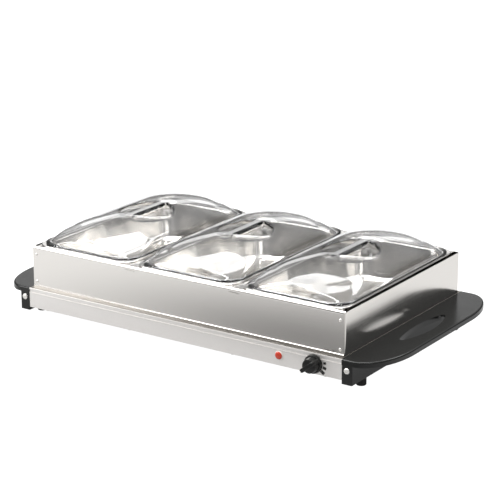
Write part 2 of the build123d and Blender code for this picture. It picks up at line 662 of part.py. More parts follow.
with BuildPart() as knob:
    with BuildSketch(facing_front(-KNOB_BACK, KNOB_X, CONTROL_Z)):
        Circle(KNOB_DIAMETER / 2)
    extrude(amount=KNOB_SKIRT, taper=KNOB_DRAFT)
    with BuildSketch(facing_front(-KNOB_BACK - KNOB_SKIRT, KNOB_X, CONTROL_Z)):
        Circle(KNOB_DIAMETER / 2 - KNOB_HUB_INSET)
    extrude(amount=KNOB_HEIGHT - KNOB_SKIRT - KNOB_HUB_DROP, taper=KNOB_DRAFT)
    with BuildSketch(facing_front(-KNOB_BACK - KNOB_SKIRT, KNOB_X, CONTROL_Z)):
        with Locations(Rotation(0, 0, KNOB_BAR_ANGLE)):
            SlotOverall(KNOB_DIAMETER, KNOB_BAR_WIDTH)
    extrude(amount=KNOB_HEIGHT - KNOB_SKIRT, taper=KNOB_BAR_DRAFT)
    fillet(knob.faces().sort_by(Axis.Y)[0].edges(), radius=KNOB_EDGE)
    with BuildSketch(facing_front(-KNOB_BACK, KNOB_X, CONTROL_Z)):
        Circle(SHAFT_DIAMETER / 2 + RUNNING)
        with Locations((0, SHAFT_DIAMETER - SHAFT_FLAT + RUNNING)):
            Rectangle(2 * SHAFT_DIAMETER, SHAFT_DIAMETER, mode=Mode.SUBTRACT)
    extrude(amount=KNOB_BORE_DEPTH, mode=Mode.SUBTRACT)
write(knob, "knob")

# ---------------------------------------------------------------- indicator lamp

LAMP_LENGTH = 20.0
BEZEL_HEIGHT = 1.2
LAMP_EDGE = 1.2
LAMP_SHELL_WALL = 1.0
LAMP_BULB_GAP = 2.0

with BuildPart() as lamp_bezel:
    with BuildSketch(facing_front(-RAIL_FACE + RAIL_FACE_STEP, LAMP_X, CONTROL_Z)):
        Circle(LAMP_BEZEL / 2)
        Circle(LAMP_SHELL / 2 + SNUG, mode=Mode.SUBTRACT)
    extrude(amount=BEZEL_HEIGHT)
write(lamp_bezel, "lamp_bezel")

with BuildPart() as lamp_lens:
    with BuildSketch(facing_front(-RAIL_FACE + RAIL_FACE_STEP - BEZEL_HEIGHT, LAMP_X, CONTROL_Z)):
        Circle(LAMP_DIAMETER / 2)
    extrude(amount=LAMP_PROUD)
    fillet(lamp_lens.faces().sort_by(Axis.Y)[0].edges(), radius=LAMP_EDGE)
    with BuildSketch(facing_front(-RAIL_FACE + RAIL_FACE_STEP - BEZEL_HEIGHT, LAMP_X, CONTROL_Z)):
        Circle(LAMP_SHELL / 2)
        Circle(LAMP_SHELL / 2 - LAMP_SHELL_WALL, mode=Mode.SUBTRACT)
    extrude(amount=-LAMP_LENGTH)
write(lamp_lens, "lamp_lens")

with BuildPart() as lamp_bulb:
    with BuildSketch(facing_front(-RAIL_FACE + LAMP_LENGTH - LAMP_BULB_GAP, LAMP_X, CONTROL_Z)):
        Circle(LAMP_SHELL / 2 - LAMP_SHELL_WALL - SLIP)
    extrude(amount=LAMP_LENGTH - 2 * LAMP_BULB_GAP)
write(lamp_bulb, "lamp_bulb")

# ---------------------------------------------------------------- cord gland and terminal block

GLAND_INSIDE = 9.0
GLAND_DRAFT = 10.0
GLAND_NUT_WALL = 3.0
GLAND_NUT_HEIGHT = 4.0
TERMINAL_LENGTH = 26.0
TERMINAL_DEPTH = 15.0
TERMINAL_HEIGHT = 12.0
TERMINAL_BACK_GAP = 45.0
TERMINAL_Y = RAIL_BACK - TERMINAL_BACK_GAP
TERMINAL_PITCH = 12.0
TERMINAL_EDGE = 1.5
TERMINAL_HOLE_Z = COVER_TOP + 5.0
TERMINAL_SCREW = 4.0
TERMINAL_SCREW_Z = TERMINAL_HOLE_Z + 2.0

with BuildPart() as cord_gland:
    with BuildSketch(facing_rear(RAIL_FACE - RAIL_FACE_STEP, GLAND_X, GLAND_Z)):
        Circle(GLAND_FLANGE / 2)
    extrude(amount=GLAND_REACH + RAIL_FACE_STEP, taper=GLAND_DRAFT)
    with BuildSketch(facing_rear(RAIL_FACE - RAIL_FACE_STEP, GLAND_X, GLAND_Z)):
        Circle(GLAND_BODY / 2)
    extrude(amount=-(RAIL_WALL - RAIL_FACE_STEP + GLAND_INSIDE))
    with BuildSketch(facing_rear(RAIL_FACE + GLAND_REACH, GLAND_X, GLAND_Z)):
        Circle(CORD_BORE / 2)
    extrude(amount=-(GLAND_REACH + RAIL_WALL + GLAND_INSIDE), mode=Mode.SUBTRACT)
write(cord_gland, "cord_gland")

with BuildPart() as gland_nut:
    with BuildSketch(facing_rear(RAIL_BACK, GLAND_X, GLAND_Z)):
        RegularPolygon(GLAND_BODY / 2 + GLAND_NUT_WALL, 6)
        Circle(GLAND_BODY / 2 + RUNNING, mode=Mode.SUBTRACT)
    extrude(amount=-GLAND_NUT_HEIGHT)
write(gland_nut, "gland_nut")

TERMINAL_X = [GLAND_X - TERMINAL_PITCH / 2, GLAND_X + TERMINAL_PITCH / 2]

with BuildPart() as terminal_block:
    with BuildSketch(level(COVER_TOP)):
        with Locations((GLAND_X, TERMINAL_Y)):
            RectangleRounded(TERMINAL_LENGTH, TERMINAL_DEPTH, TERMINAL_EDGE)
    extrude(amount=TERMINAL_HEIGHT)
    for x in TERMINAL_X:
        with BuildSketch(facing_front(TERMINAL_Y - TERMINAL_DEPTH / 2, x, TERMINAL_HOLE_Z)):
            Circle(LEAD_DIAMETER / 2 + SLIP)
        extrude(amount=-TERMINAL_DEPTH, mode=Mode.SUBTRACT)
        with BuildSketch(level(TERMINAL_HOLE_Z)):
            with Locations((x, TERMINAL_Y)):
                Circle(TERMINAL_SCREW / 2)
        extrude(amount=TERMINAL_HEIGHT, mode=Mode.SUBTRACT)
write(terminal_block, "terminal_block")

with BuildPart() as terminal_screws:
    with BuildSketch(level(TERMINAL_SCREW_Z)):
        with Locations([(x, TERMINAL_Y) for x in TERMINAL_X]):
            Circle(TERMINAL_SCREW / 2 - RUNNING)
    extrude(amount=TERMINAL_SCREW)
write(terminal_screws, "terminal_screws")

# ---------------------------------------------------------------- thermal cut-out

CUTOUT_DIAMETER = 15.0
CUTOUT_HEIGHT = 9.0
CUTOUT_EAR = 9.0
CUTOUT_RING = 2.5
CUTOUT_SHEET = 1.0
CUTOUT_Y = ELEMENT_ROWS[-2]
CUTOUT_X = (TRAY_HALF_X + BASE_END) / 2

with BuildPart() as thermal_cutout:
    with BuildSketch(level(PLATE_UNDER - CUTOUT_HEIGHT)):
        with Locations((CUTOUT_X, CUTOUT_Y)):
            Circle(CUTOUT_DIAMETER / 2)
    extrude(amount=CUTOUT_HEIGHT)
write(thermal_cutout, "thermal_cutout")

with BuildPart() as cutout_bracket:
    with BuildSketch(level(PLATE_UNDER - CUTOUT_SHEET)):
        with Locations((CUTOUT_X, CUTOUT_Y)):
            SlotOverall(CUTOUT_DIAMETER + 2 * CUTOUT_EAR, CUTOUT_DIAMETER + 2 * CUTOUT_RING, rotation=90)
            Circle(CUTOUT_DIAMETER / 2 + RUNNING, mode=Mode.SUBTRACT)
    extrude(amount=CUTOUT_SHEET)
write(cutout_bracket, "cutout_bracket")

# ---------------------------------------------------------------- internal leads

LEAD_BEND = 5.0
LEAD_STUB = 18.0
LEAD_REAR_STUB = 60.0
LEAD_WALL_GAP = 8.0
LEAD_LEVEL_GAP = 24.0


def lead(name, points):
    """An insulated lead along straight runs joined by arcs, from one terminal to another."""
    with BuildPart() as wire:
        with BuildLine(level(0)) as route:
            FilletPolyline(points, radius=LEAD_BEND)
        with BuildSketch(Plane(origin=route.line @ 0, z_dir=route.line % 0)):
            Circle(LEAD_DIAMETER / 2)
        sweep()
    write(wire, name)


THERMOSTAT_REAR = -THERMOSTAT_FACE + THERMOSTAT_DEPTH + TAB_BLADE_LENGTH
TERMINAL_FRONT = TERMINAL_Y - TERMINAL_DEPTH / 2
LEAD_OUT_X = BASE_END - LEAD_WALL_GAP

lead("supply_lead", [
    (TERMINAL_X[0], TERMINAL_FRONT, TERMINAL_HOLE_Z),
    (TERMINAL_X[0], TERMINAL_FRONT - LEAD_REAR_STUB, TERMINAL_HOLE_Z),
    (KNOB_X - TAB_X, THERMOSTAT_REAR + LEAD_REAR_STUB, TERMINAL_HOLE_Z),
    (KNOB_X - TAB_X, THERMOSTAT_REAR + LEAD_LEVEL_GAP, CONTROL_Z),
    (KNOB_X - TAB_X, THERMOSTAT_REAR, CONTROL_Z),
])
lead("element_lead", [
    (TERMINAL_END, ELEMENT_ROWS[0], ELEMENT_Z),
    (LEAD_OUT_X, ELEMENT_ROWS[0], ELEMENT_Z),
    (LEAD_OUT_X, ELEMENT_ROWS[0] - LEAD_STUB, CONTROL_Z),
    (KNOB_X + TAB_X, THERMOSTAT_REAR + LEAD_STUB, CONTROL_Z),
    (KNOB_X + TAB_X, THERMOSTAT_REAR, CONTROL_Z),
])
# The neutral side runs through the thermal cut-out to the element's other end.
lead("neutral_lead", [
    (TERMINAL_X[1], TERMINAL_FRONT, TERMINAL_HOLE_Z),
    (TERMINAL_X[1], TERMINAL_FRONT - LEAD_STUB, TERMINAL_HOLE_Z),
    (CUTOUT_X - LEAD_DIAMETER, CUTOUT_Y + LEAD_STUB, TERMINAL_HOLE_Z),
    (CUTOUT_X - LEAD_DIAMETER, CUTOUT_Y, TERMINAL_HOLE_Z),
    (CUTOUT_X - LEAD_DIAMETER, CUTOUT_Y, PLATE_UNDER - CUTOUT_HEIGHT),
])
lead("cutout_lead", [
    (CUTOUT_X + LEAD_DIAMETER, CUTOUT_Y, PLATE_UNDER - CUTOUT_HEIGHT),
    (CUTOUT_X + LEAD_DIAMETER, CUTOUT_Y, TERMINAL_HOLE_Z),
    (LEAD_OUT_X, CUTOUT_Y + LEAD_STUB, TERMINAL_HOLE_Z),
    (LEAD_OUT_X, ELEMENT_ROWS[-1], ELEMENT_Z),
    (TERMINAL_END, ELEMENT_ROWS[-1], ELEMENT_Z),
])

# ---------------------------------------------------------------- buffet frame walls

FRAME_FRONT = FRAME_DEPTH / 2
LEDGE_END = FRAME_FRONT - FOLD_RADIUS - LEDGE_WIDTH
WALL_HALF_X = FRAME_LENGTH / 2 - CORNER_GAP
SIDE_WALL_TOP = REST_Z - SIDE_WALL_DROP
SIDE_FRONT = FRAME_FRONT - FRAME_SHEET
RIVET_X = FRAME_LENGTH / 2 - RIVET_INSET
RIVET_Z = [DECK_Z + RIVET_EDGE, REST_Z - FOLD_RADIUS - RIVET_EDGE]
TAB_TOP = REST_Z - BAR_TAB_DROP + BAR_TAB_THICKNESS
TAB_LOW = REST_Z - BAR_TAB_DROP
TAB_WIDTH = BAR_WIDTH - 2 * FRAME_SHEET

with BuildPart() as front_wall:
    with BuildSketch(end_section(-WALL_HALF_X)):
        with BuildLine():
            bend = FOLD_RADIUS
            inner = FOLD_RADIUS - FRAME_SHEET
            centre_y = -FRAME_FRONT + bend
            centre_z = REST_Z - bend
            Line((-FRAME_FRONT, DECK_Z + HEM_HEIGHT), (-FRAME_FRONT, centre_z))
            CenterArc((centre_y, centre_z), bend, 180, -90)
            Line((centre_y, REST_Z), (-LEDGE_END, REST_Z))
            Line((-LEDGE_END, REST_Z), (-LEDGE_END, REST_Z - FRAME_SHEET))
            Line((-LEDGE_END, REST_Z - FRAME_SHEET), (centre_y, REST_Z - FRAME_SHEET))
            CenterArc((centre_y, centre_z), inner, 90, 90)
            Line((-FRAME_FRONT + FRAME_SHEET, centre_z), (-FRAME_FRONT + FRAME_SHEET, DECK_Z))
            Line((-FRAME_FRONT + FRAME_SHEET, DECK_Z), (-FRAME_FRONT - FRAME_SHEET, DECK_Z))
            hem_top = DECK_Z + HEM_HEIGHT - FRAME_SHEET
            Line((-FRAME_FRONT - FRAME_SHEET, DECK_Z), (-FRAME_FRONT - FRAME_SHEET, hem_top))
            Line((-FRAME_FRONT - FRAME_SHEET, hem_top), (-FRAME_FRONT, DECK_Z + HEM_HEIGHT))
        make_face()
    extrude(amount=2 * WALL_HALF_X)
    # The ledge is notched at both ends, where the side walls stand.
    with BuildSketch(level(REST_Z - FOLD_RADIUS)):
        notch = CORNER_FLANGE
        for x in (-FRAME_LENGTH / 2, FRAME_LENGTH / 2):
            with Locations((x, -FRAME_FRONT + FOLD_RADIUS + FRAME_FRONT / 2)):
                Rectangle(notch, FRAME_FRONT)
    extrude(amount=2 * FOLD_RADIUS, mode=Mode.SUBTRACT)
    with BuildSketch(facing_front(-FRAME_FRONT)):
        with Locations([(x, (TAB_TOP + TAB_LOW) / 2) for x in BAR_CENTRES]):
            Rectangle(TAB_WIDTH + 2 * SLIP, BAR_TAB_THICKNESS + 2 * SLIP)
        with Locations([(x, z) for x in (-RIVET_X, RIVET_X) for z in RIVET_Z]):
            Circle(RIVET_SHANK / 2 + RUNNING)
    extrude(amount=-FRAME_SHEET, mode=Mode.SUBTRACT)
write(front_wall, "front_wall")
write_mirrored(front_wall, "rear_wall", FRONT_TO_REAR)

with BuildPart() as right_wall:
    with BuildSketch(level(DECK_Z)):
        with BuildLine():
            outer_x = FRAME_LENGTH / 2
            flange_x = outer_x - CORNER_FLANGE
            bend = CORNER_BEND
            Line((flange_x, -SIDE_FRONT), (outer_x - bend, -SIDE_FRONT))
            CenterArc((outer_x - bend, bend - SIDE_FRONT), bend, 270, 90)
            Line((outer_x, bend - SIDE_FRONT), (outer_x, SIDE_FRONT - bend))
            CenterArc((outer_x - bend, SIDE_FRONT - bend), bend, 0, 90)
            Line((outer_x - bend, SIDE_FRONT), (flange_x, SIDE_FRONT))
            offset(amount=FRAME_SHEET, side=Side.LEFT)
        make_face()
    extrude(amount=SIDE_WALL_TOP - DECK_Z)
    # Level with the fold of the front and rear walls, the flanges are cut away.
    with BuildSketch(level(REST_Z - FOLD_RADIUS - SLIP)):
        with Locations((WALL_HALF_X + SNUG - CORNER_FLANGE / 2, 0)):
            Rectangle(CORNER_FLANGE, FRAME_DEPTH)
    extrude(amount=FOLD_RADIUS * 2, mode=Mode.SUBTRACT)
    for y, plane_at in ((-SIDE_FRONT, facing_front), (SIDE_FRONT, facing_rear)):
        for z in RIVET_Z:
            with BuildSketch(plane_at(y, RIVET_X, z)):
                Circle(RIVET_SHANK / 2 + RUNNING)
            extrude(amount=-FRAME_SHEET, mode=Mode.SUBTRACT)
write(right_wall, "right_wall")
write_mirrored(right_wall, "left_wall", Plane.YZ)

with BuildPart() as frame_rivets:
    for y, plane_at in ((-FRAME_FRONT, facing_front), (FRAME_FRONT, facing_rear)):
        for x in (-RIVET_X, RIVET_X):
            for z in RIVET_Z:
                with BuildSketch(plane_at(y, x, z)):
                    Circle(RIVET_DIAMETER / 2)
                extrude(amount=RIVET_DOME, taper=RIVET_TAPER)
                with BuildSketch(plane_at(y, x, z)):
                    Circle(RIVET_SHANK / 2)
                extrude(amount=-2 * FRAME_SHEET)
                tail_y = math.copysign(FRAME_FRONT - 2 * FRAME_SHEET, y)
                with BuildSketch(plane_at(tail_y, x, z)):
                    Circle(RIVET_TAIL / 2)
                extrude(amount=-RIVET_DOME)
write(frame_rivets, "frame_rivets")

# ---------------------------------------------------------------- cross bars

for number, x in enumerate(BAR_CENTRES, start=1):
    with BuildPart() as cross_bar:
        channel_low = REST_Z - BAR_HEIGHT
        # The top strip, between the front and rear ledges.
        with BuildSketch(level(REST_Z - FRAME_SHEET, x)):
            Rectangle(BAR_WIDTH, 2 * (LEDGE_END - SLIP))
        extrude(amount=FRAME_SHEET)
        # The two sides run on below the ledges to the walls.
        for edge in (-1, 1):
            with BuildSketch(level(channel_low, x)):
                with Locations((edge * (BAR_WIDTH - FRAME_SHEET) / 2, 0)):
                    Rectangle(FRAME_SHEET, 2 * (LEDGE_END - SLIP))
            extrude(amount=BAR_HEIGHT)
            with BuildSketch(level(channel_low, x)):
                with Locations((edge * (BAR_WIDTH - FRAME_SHEET) / 2, 0)):
                    Rectangle(FRAME_SHEET, 2 * (FRAME_FRONT - FRAME_SHEET - SLIP))
            extrude(amount=BAR_HEIGHT - FOLD_RADIUS)
        # A tab at each end passes through its slot in the wall.
        for end in (-1, 1):
            tab_inner = LEDGE_END - SLIP
            tab_outer = FRAME_FRONT + BAR_TAB_PROUD
            with BuildSketch(level(TAB_LOW, x)):
                with Locations((0, end * (tab_inner + tab_outer) / 2)):
                    Rectangle(TAB_WIDTH, tab_outer - tab_inner)
            extrude(amount=BAR_TAB_THICKNESS)
    write(cross_bar, f"cross_bar_{number}")

# ---------------------------------------------------------------- pans

FULL_END_SHARE = 0.98


def rounded(half_x, half_y, radius, mode=Mode.ADD):
    """A rounded rectangle given by its half sizes, kept just short of a full end."""
    corner = min(radius, FULL_END_SHARE * min(half_x, half_y))
    RectangleRounded(2 * half_x, 2 * half_y, corner, mode=mode)


FLOOR_HALF_X = WELL_HALF_X - PAN_SLOPE
FLOOR_HALF_Y = WELL_HALF_Y - PAN_SLOPE
PAN_INNER_CORNER = PAN_WELL_CORNER - PAN_SHEET

with BuildPart() as well_outside:
    with BuildSketch(level(PAN_BOTTOM)):
        rounded(FLOOR_HALF_X, FLOOR_HALF_Y, PAN_WELL_CORNER)
    with BuildSketch(level(RIM_TOP)):
        rounded(WELL_HALF_X, WELL_HALF_Y, PAN_WELL_CORNER)
    loft()
    fillet(well_outside.faces().sort_by(Axis.Z)[0].edges(), radius=PAN_FLOOR_FILLET)

with BuildPart() as well_inside:
    with BuildSketch(level(PAN_BOTTOM + PAN_SHEET)):
        rounded(FLOOR_HALF_X - PAN_SHEET, FLOOR_HALF_Y - PAN_SHEET, PAN_INNER_CORNER)
    with BuildSketch(level(RIM_TOP + PAN_SHEET)):
        rounded(WELL_HALF_X - PAN_SHEET, WELL_HALF_Y - PAN_SHEET, PAN_INNER_CORNER)
    loft()
    fillet(well_inside.faces().sort_by(Axis.Z)[0].edges(), radius=PAN_FLOOR_FILLET - PAN_SHEET)

with BuildPart() as plain_pan:
    # The flat rim, with its edge turned down onto the frame.
    with BuildSketch(level(REST_Z)):
        rounded(RIM_HALF_X, RIM_HALF_Y, PAN_CORNER)
    extrude(amount=PAN_CURL)
    fillet(plain_pan.faces().sort_by(Axis.Z)[-1].edges(), radius=PAN_SHEET)
    with BuildSketch(level(REST_Z)):
        rounded(RIM_HALF_X - PAN_CURL, RIM_HALF_Y - PAN_CURL, PAN_CORNER - PAN_CURL)
    extrude(amount=PAN_CURL - PAN_SHEET, mode=Mode.SUBTRACT)
    add(well_outside.part)
    add(well_inside.part, mode=Mode.SUBTRACT)

for number, x in enumerate(PAN_CENTRES, start=1):
    with BuildPart() as pan:
        with Locations((x, 0, 0)):
            add(plain_pan.part)
    write(pan, f"pan_{number}")

# ---------------------------------------------------------------- lids

DOME_STEPS = 11
DOME_TOP_SHARE = 0.985
DOME_SPREAD = 87.0
# Each axis has its own curve, (1 - share ** power) ** root: flat on top and steep at the foot.
DOME_X_POWER, DOME_X_ROOT = 2.1, 0.55
DOME_Y_POWER, DOME_Y_ROOT = 2.9, 0.38
DOME_BASE = LID_BASE + LID_FLANGE
GRIP_FLOOR = LID_TOP - GRIP_DEPTH
GRIP_CLEAR = 10.0


def dome_section(share, wall):
    """Half sizes and corner radius of the dome at a share of its height, less a wall."""
    half_x = DOME_HALF_X * (1 - share ** DOME_X_POWER) ** DOME_X_ROOT - wall
    half_y = DOME_HALF_Y * (1 - share ** DOME_Y_POWER) ** DOME_Y_ROOT - wall
    corner = LID_CORNER + DOME_SPREAD * share - wall
    return half_x, half_y, corner


def dome(wall):
    """The dome's volume as straight bands between level sections, smaller towards the crown."""
    sections = []
    for k in range(DOME_STEPS):
        share = DOME_TOP_SHARE * math.sin(math.pi / 2 * k / (DOME_STEPS - 1))
        half_x, half_y, corner = dome_section(share, wall)
        height = DOME_BASE + (LID_TOP - DOME_BASE - wall) * share / DOME_TOP_SHARE
        with BuildSketch(level(height)) as section:
            rounded(half_x, half_y, corner)
        sections.append(section.sketch)
    loft(sections, ruled=True)


with BuildPart() as dome_outside:
    dome(0.0)

with BuildPart() as dome_inside:
    dome(LID_WALL)
    with BuildSketch(level(LID_BASE)):
        rounded(DOME_HALF_X - LID_WALL, DOME_HALF_Y - LID_WALL, LID_CORNER - LID_WALL)
    extrude(amount=LID_FLANGE)

with BuildPart() as grip_cup:
    # The wall and floor of the round grip, no higher than the dome around it.
    add(dome_outside.part)
    with BuildSketch(level(GRIP_FLOOR - LID_WALL)):
        Circle(GRIP_RADIUS + LID_WALL)
    extrude(amount=GRIP_DEPTH + LID_WALL + GRIP_CLEAR, mode=Mode.INTERSECT)

with BuildPart() as ridge_hollow:
    # The ridge between the two pockets is hollow from below.
    add(dome_inside.part)
    with BuildSketch(level(GRIP_FLOOR - LID_WALL)):
        Rectangle(GRIP_RIDGE - 2 * LID_WALL, 2 * GRIP_RADIUS)
    extrude(amount=GRIP_DEPTH + GRIP_CLEAR, mode=Mode.INTERSECT)

with BuildPart() as plain_lid:
    with BuildSketch(level(LID_BASE)):
        rounded(LID_HALF_X, LID_HALF_Y, LID_CORNER)
    extrude(amount=LID_FLANGE)
    add(dome_outside.part)
    add(dome_inside.part, mode=Mode.SUBTRACT)
    add(grip_cup.part)
    add(ridge_hollow.part, mode=Mode.SUBTRACT)
    with BuildSketch(level(GRIP_FLOOR)):
        Circle(GRIP_RADIUS)
        Rectangle(GRIP_RIDGE, 3 * GRIP_RADIUS, mode=Mode.SUBTRACT)
    extrude(amount=GRIP_DEPTH + GRIP_CLEAR, mode=Mode.SUBTRACT)

for number, x in enumerate(PAN_CENTRES, start=1):
    with BuildPart() as lid:
        with Locations((x, 0, 0)):
            add(plain_lid.part)
    write(lid, f"lid_{number}")
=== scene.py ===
# %% [markdown]
# # A three-pan electric buffet server
#
# The server is a hot plate between two aluminium rails, with a black handle at
# each end. A riveted stainless frame stands on the plate and holds three
# polished pans, each under a clear dome lid.
#
# The engineering model already fixes every size, place and joint. This lesson
# loads it as a frame, then gives it its looks: a camera and lights, materials
# named for what the real surfaces are, and finer meshes for the pieces whose
# shape matters most, which are the lids, the pans and the small fittings.

# %% Load the engineering model
import json
import math

import bmesh
import bpy
import numpy as np
from mathutils import Matrix, Vector


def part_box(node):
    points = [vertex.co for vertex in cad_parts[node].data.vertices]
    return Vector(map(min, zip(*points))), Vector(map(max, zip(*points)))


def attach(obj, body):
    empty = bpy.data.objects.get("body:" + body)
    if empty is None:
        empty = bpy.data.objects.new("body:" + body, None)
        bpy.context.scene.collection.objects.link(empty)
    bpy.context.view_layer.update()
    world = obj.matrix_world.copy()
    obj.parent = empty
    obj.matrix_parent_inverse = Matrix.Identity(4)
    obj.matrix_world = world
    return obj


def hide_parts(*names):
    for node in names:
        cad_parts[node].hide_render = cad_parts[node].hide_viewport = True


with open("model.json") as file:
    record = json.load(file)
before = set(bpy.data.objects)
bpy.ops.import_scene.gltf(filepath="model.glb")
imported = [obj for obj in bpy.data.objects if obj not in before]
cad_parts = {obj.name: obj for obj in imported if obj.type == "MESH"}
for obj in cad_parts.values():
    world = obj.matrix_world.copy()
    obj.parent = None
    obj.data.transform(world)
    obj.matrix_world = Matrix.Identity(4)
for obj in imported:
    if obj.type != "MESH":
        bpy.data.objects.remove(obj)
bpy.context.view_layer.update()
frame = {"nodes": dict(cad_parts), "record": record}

MM = 0.001
NODES = frame["nodes"]
print("loaded", len(NODES), "nodes")

# %% [markdown]
# ## Camera
#
# A long lens far away keeps parallel edges nearly parallel, as a catalogue
# picture does. The camera stands to the right of the front and looks down a
# little. A Track To constraint could aim it, but a fixed rotation worked out
# from two points stays put when the file is opened elsewhere.

# %% Camera
CAMERA_PLACE = Vector((1.5002, -2.2206, 0.9486))
CAMERA_TARGET = Vector((0.0095, 0.0079, 0.1123))
LENS_MM = 133.83


def aimed(place, target):
    """The matrix of a camera or light at a place, looking at a target."""
    turn = (target - place).to_track_quat("-Z", "Y")
    return Matrix.Translation(place) @ turn.to_matrix().to_4x4()


def add_camera():
    """A full-frame camera with no shift and no depth of field."""
    data = bpy.data.cameras.new("camera")
    data.lens = LENS_MM
    data.sensor_width = 36.0
    camera = bpy.data.objects.new("camera", data)
    camera.matrix_world = aimed(CAMERA_PLACE, CAMERA_TARGET)
    bpy.context.scene.collection.objects.link(camera)
    return camera


bpy.context.scene.camera = add_camera()
bpy.context.scene.view_settings.view_transform = "Standard"
print("camera at", tuple(CAMERA_PLACE), "lens", LENS_MM)

# %% [markdown]
# ## Two helpers for node materials
#
# Every material below is a small node tree. One function turns the hex colour
# that a paint chart gives into the linear colour that the renderer works in,
# and one adds a node, sets it up and links it.

# %% Node helpers


def linear(hex_colour):
    """An sRGB hex colour as linear red, green, blue and alpha."""
    channels = [int(hex_colour[i:i + 2], 16) / 255 for i in (1, 3, 5)]
    light = [c / 12.92 if c <= 0.04045 else ((c + 0.055) / 1.055) ** 2.4 for c in channels]
    return (*light, 1.0)


def add_node(tree, kind, settings=(), inputs=()):
    """A new node: settings are its own fields; inputs, by name or number, are values or sockets."""
    node = tree.nodes.new(kind)
    for name, value in dict(settings).items():
        setattr(node, name, value)
    for name, value in dict(inputs).items():
        if isinstance(value, bpy.types.NodeSocket):
            tree.links.new(value, node.inputs[name])
        else:
            node.inputs[name].default_value = value
    return node


def new_material(name, colour, **shader_values):
    """A material with one Principled shader: it, its tree, the shader and object coordinates."""
    material = bpy.data.materials.new(name)
    material.use_nodes = True
    tree = material.node_tree
    shader = tree.nodes["Principled BSDF"]
    shader.inputs["Base Color"].default_value = linear(colour)
    for key, value in shader_values.items():
        shader.inputs[key.replace("_", " ")].default_value = value
    coordinates = add_node(tree, "ShaderNodeTexCoord").outputs["Object"]
    return material, tree, shader, coordinates


print("one grey in linear light:", [round(c, 3) for c in linear("#808080")])

# %% [markdown]
# ## Satin stainless sheet
#
# The buffet frame is 304 stainless sheet, drawn under an abrasive belt. The
# belt leaves fine scratches along each wall, so the reflection is smeared
# across them: up and down. That is what anisotropy does, with a tangent that
# runs level round the server. The scratches themselves are a noise that is
# stretched along the wall. Real grit lines are near 0.1 mm, too fine to show at
# this distance, so they are drawn 1 mm apart.
#
# The rails are anodised, and the oxide scatters light as a dull skin would, so
# they are only partly metallic. The hot plate is the frame's steel, dulled by
# heat, and its colour is darkened as painted shade, for the shade that falls on
# it between the frame and the rails.

# %% Brushed metals
GRAIN_MM = 1.0
GRAIN_STRETCH = 0.012
SCRATCH_RELIEF = 0.1 * MM
NOISE_LOW, NOISE_HIGH = 0.25, 0.75


def brushed(name, colour, roughness, spread, depth, grain_mm=GRAIN_MM, anisotropy=0.55, metal=1.0):
    """A belt-brushed metal: level scratches vary its roughness by spread and bump its surface."""
    material, tree, shader, place = new_material(name, colour, Metallic=metal, Anisotropic=anisotropy)
    lines = 1.0 / (grain_mm * MM)
    scratch_place = add_node(tree, "ShaderNodeMapping", inputs={
        "Vector": place, "Scale": (lines * GRAIN_STRETCH, lines * GRAIN_STRETCH, lines)})
    scratches = add_node(tree, "ShaderNodeTexNoise", inputs={
        "Vector": scratch_place.outputs["Vector"], "Scale": 1.0, "Detail": 3.0, "Roughness": 0.6})
    rough = add_node(tree, "ShaderNodeMapRange", inputs={
        "Value": scratches.outputs["Fac"], "From Min": NOISE_LOW, "From Max": NOISE_HIGH,
        "To Min": roughness - spread, "To Max": roughness + spread})
    bump = add_node(tree, "ShaderNodeBump", inputs={
        "Height": scratches.outputs["Fac"], "Strength": depth, "Distance": SCRATCH_RELIEF})
    around = add_node(tree, "ShaderNodeTangent", {"direction_type": "RADIAL", "axis": "Z"})
    tree.links.new(rough.outputs["Result"], shader.inputs["Roughness"])
    tree.links.new(bump.outputs["Normal"], shader.inputs["Normal"])
    tree.links.new(around.outputs["Tangent"], shader.inputs["Tangent"])
    return material


satin_stainless = brushed("satin_belt_brushed_stainless", "#DDDAD6", 0.17, 0.035, 0.12,
                          anisotropy=0.4)
brushed_aluminium = brushed("brushed_anodised_aluminium", "#F0EDEA", 0.5, 0.06, 0.4,
                            grain_mm=0.8, metal=0.6)
# The plate's dark colour is painted shade: it stands for the shade on the strip of plate between the
# frame and the rails.
plate_stainless_painted_shade = brushed("stainless_plate_darkened_for_painted_shade", "#8E8A85", 0.34, 0.05, 0.2)
print("made", satin_stainless.name, "and", brushed_aluminium.name, "and", plate_stainless_painted_shade.name)

# %% [markdown]
# ## Polished stainless
#
# The pans are pressed from polished sheet. Pressing leaves the walls very
# slightly wavy, so the reflections swim in long soft shapes and bright streaks.
# A flat mirror would look like glass; a low, broad bump makes it look pressed.

# %% Polished and plated metals
WAVE_MM = 70.0
HAZE_SPREAD = 0.3


def polished(name, colour, roughness, wave_depth_mm, wave_mm=WAVE_MM, metal=1.0):
    """A polished metal with broad, shallow waves from pressing."""
    material, tree, shader, place = new_material(name, colour, Metallic=metal)
    waves = add_node(tree, "ShaderNodeTexNoise", inputs={
        "Vector": place, "Scale": 1.0 / (wave_mm * MM), "Detail": 1.0, "Roughness": 0.4})
    haze = add_node(tree, "ShaderNodeMapRange", inputs={
        "Value": waves.outputs["Fac"],
        "To Min": (1 - HAZE_SPREAD) * roughness, "To Max": (1 + HAZE_SPREAD) * roughness})
    bump = add_node(tree, "ShaderNodeBump", inputs={
        "Height": waves.outputs["Fac"], "Strength": 1.0, "Distance": wave_depth_mm * MM})
    tree.links.new(haze.outputs["Result"], shader.inputs["Roughness"])
    tree.links.new(bump.outputs["Normal"], shader.inputs["Normal"])
    return material


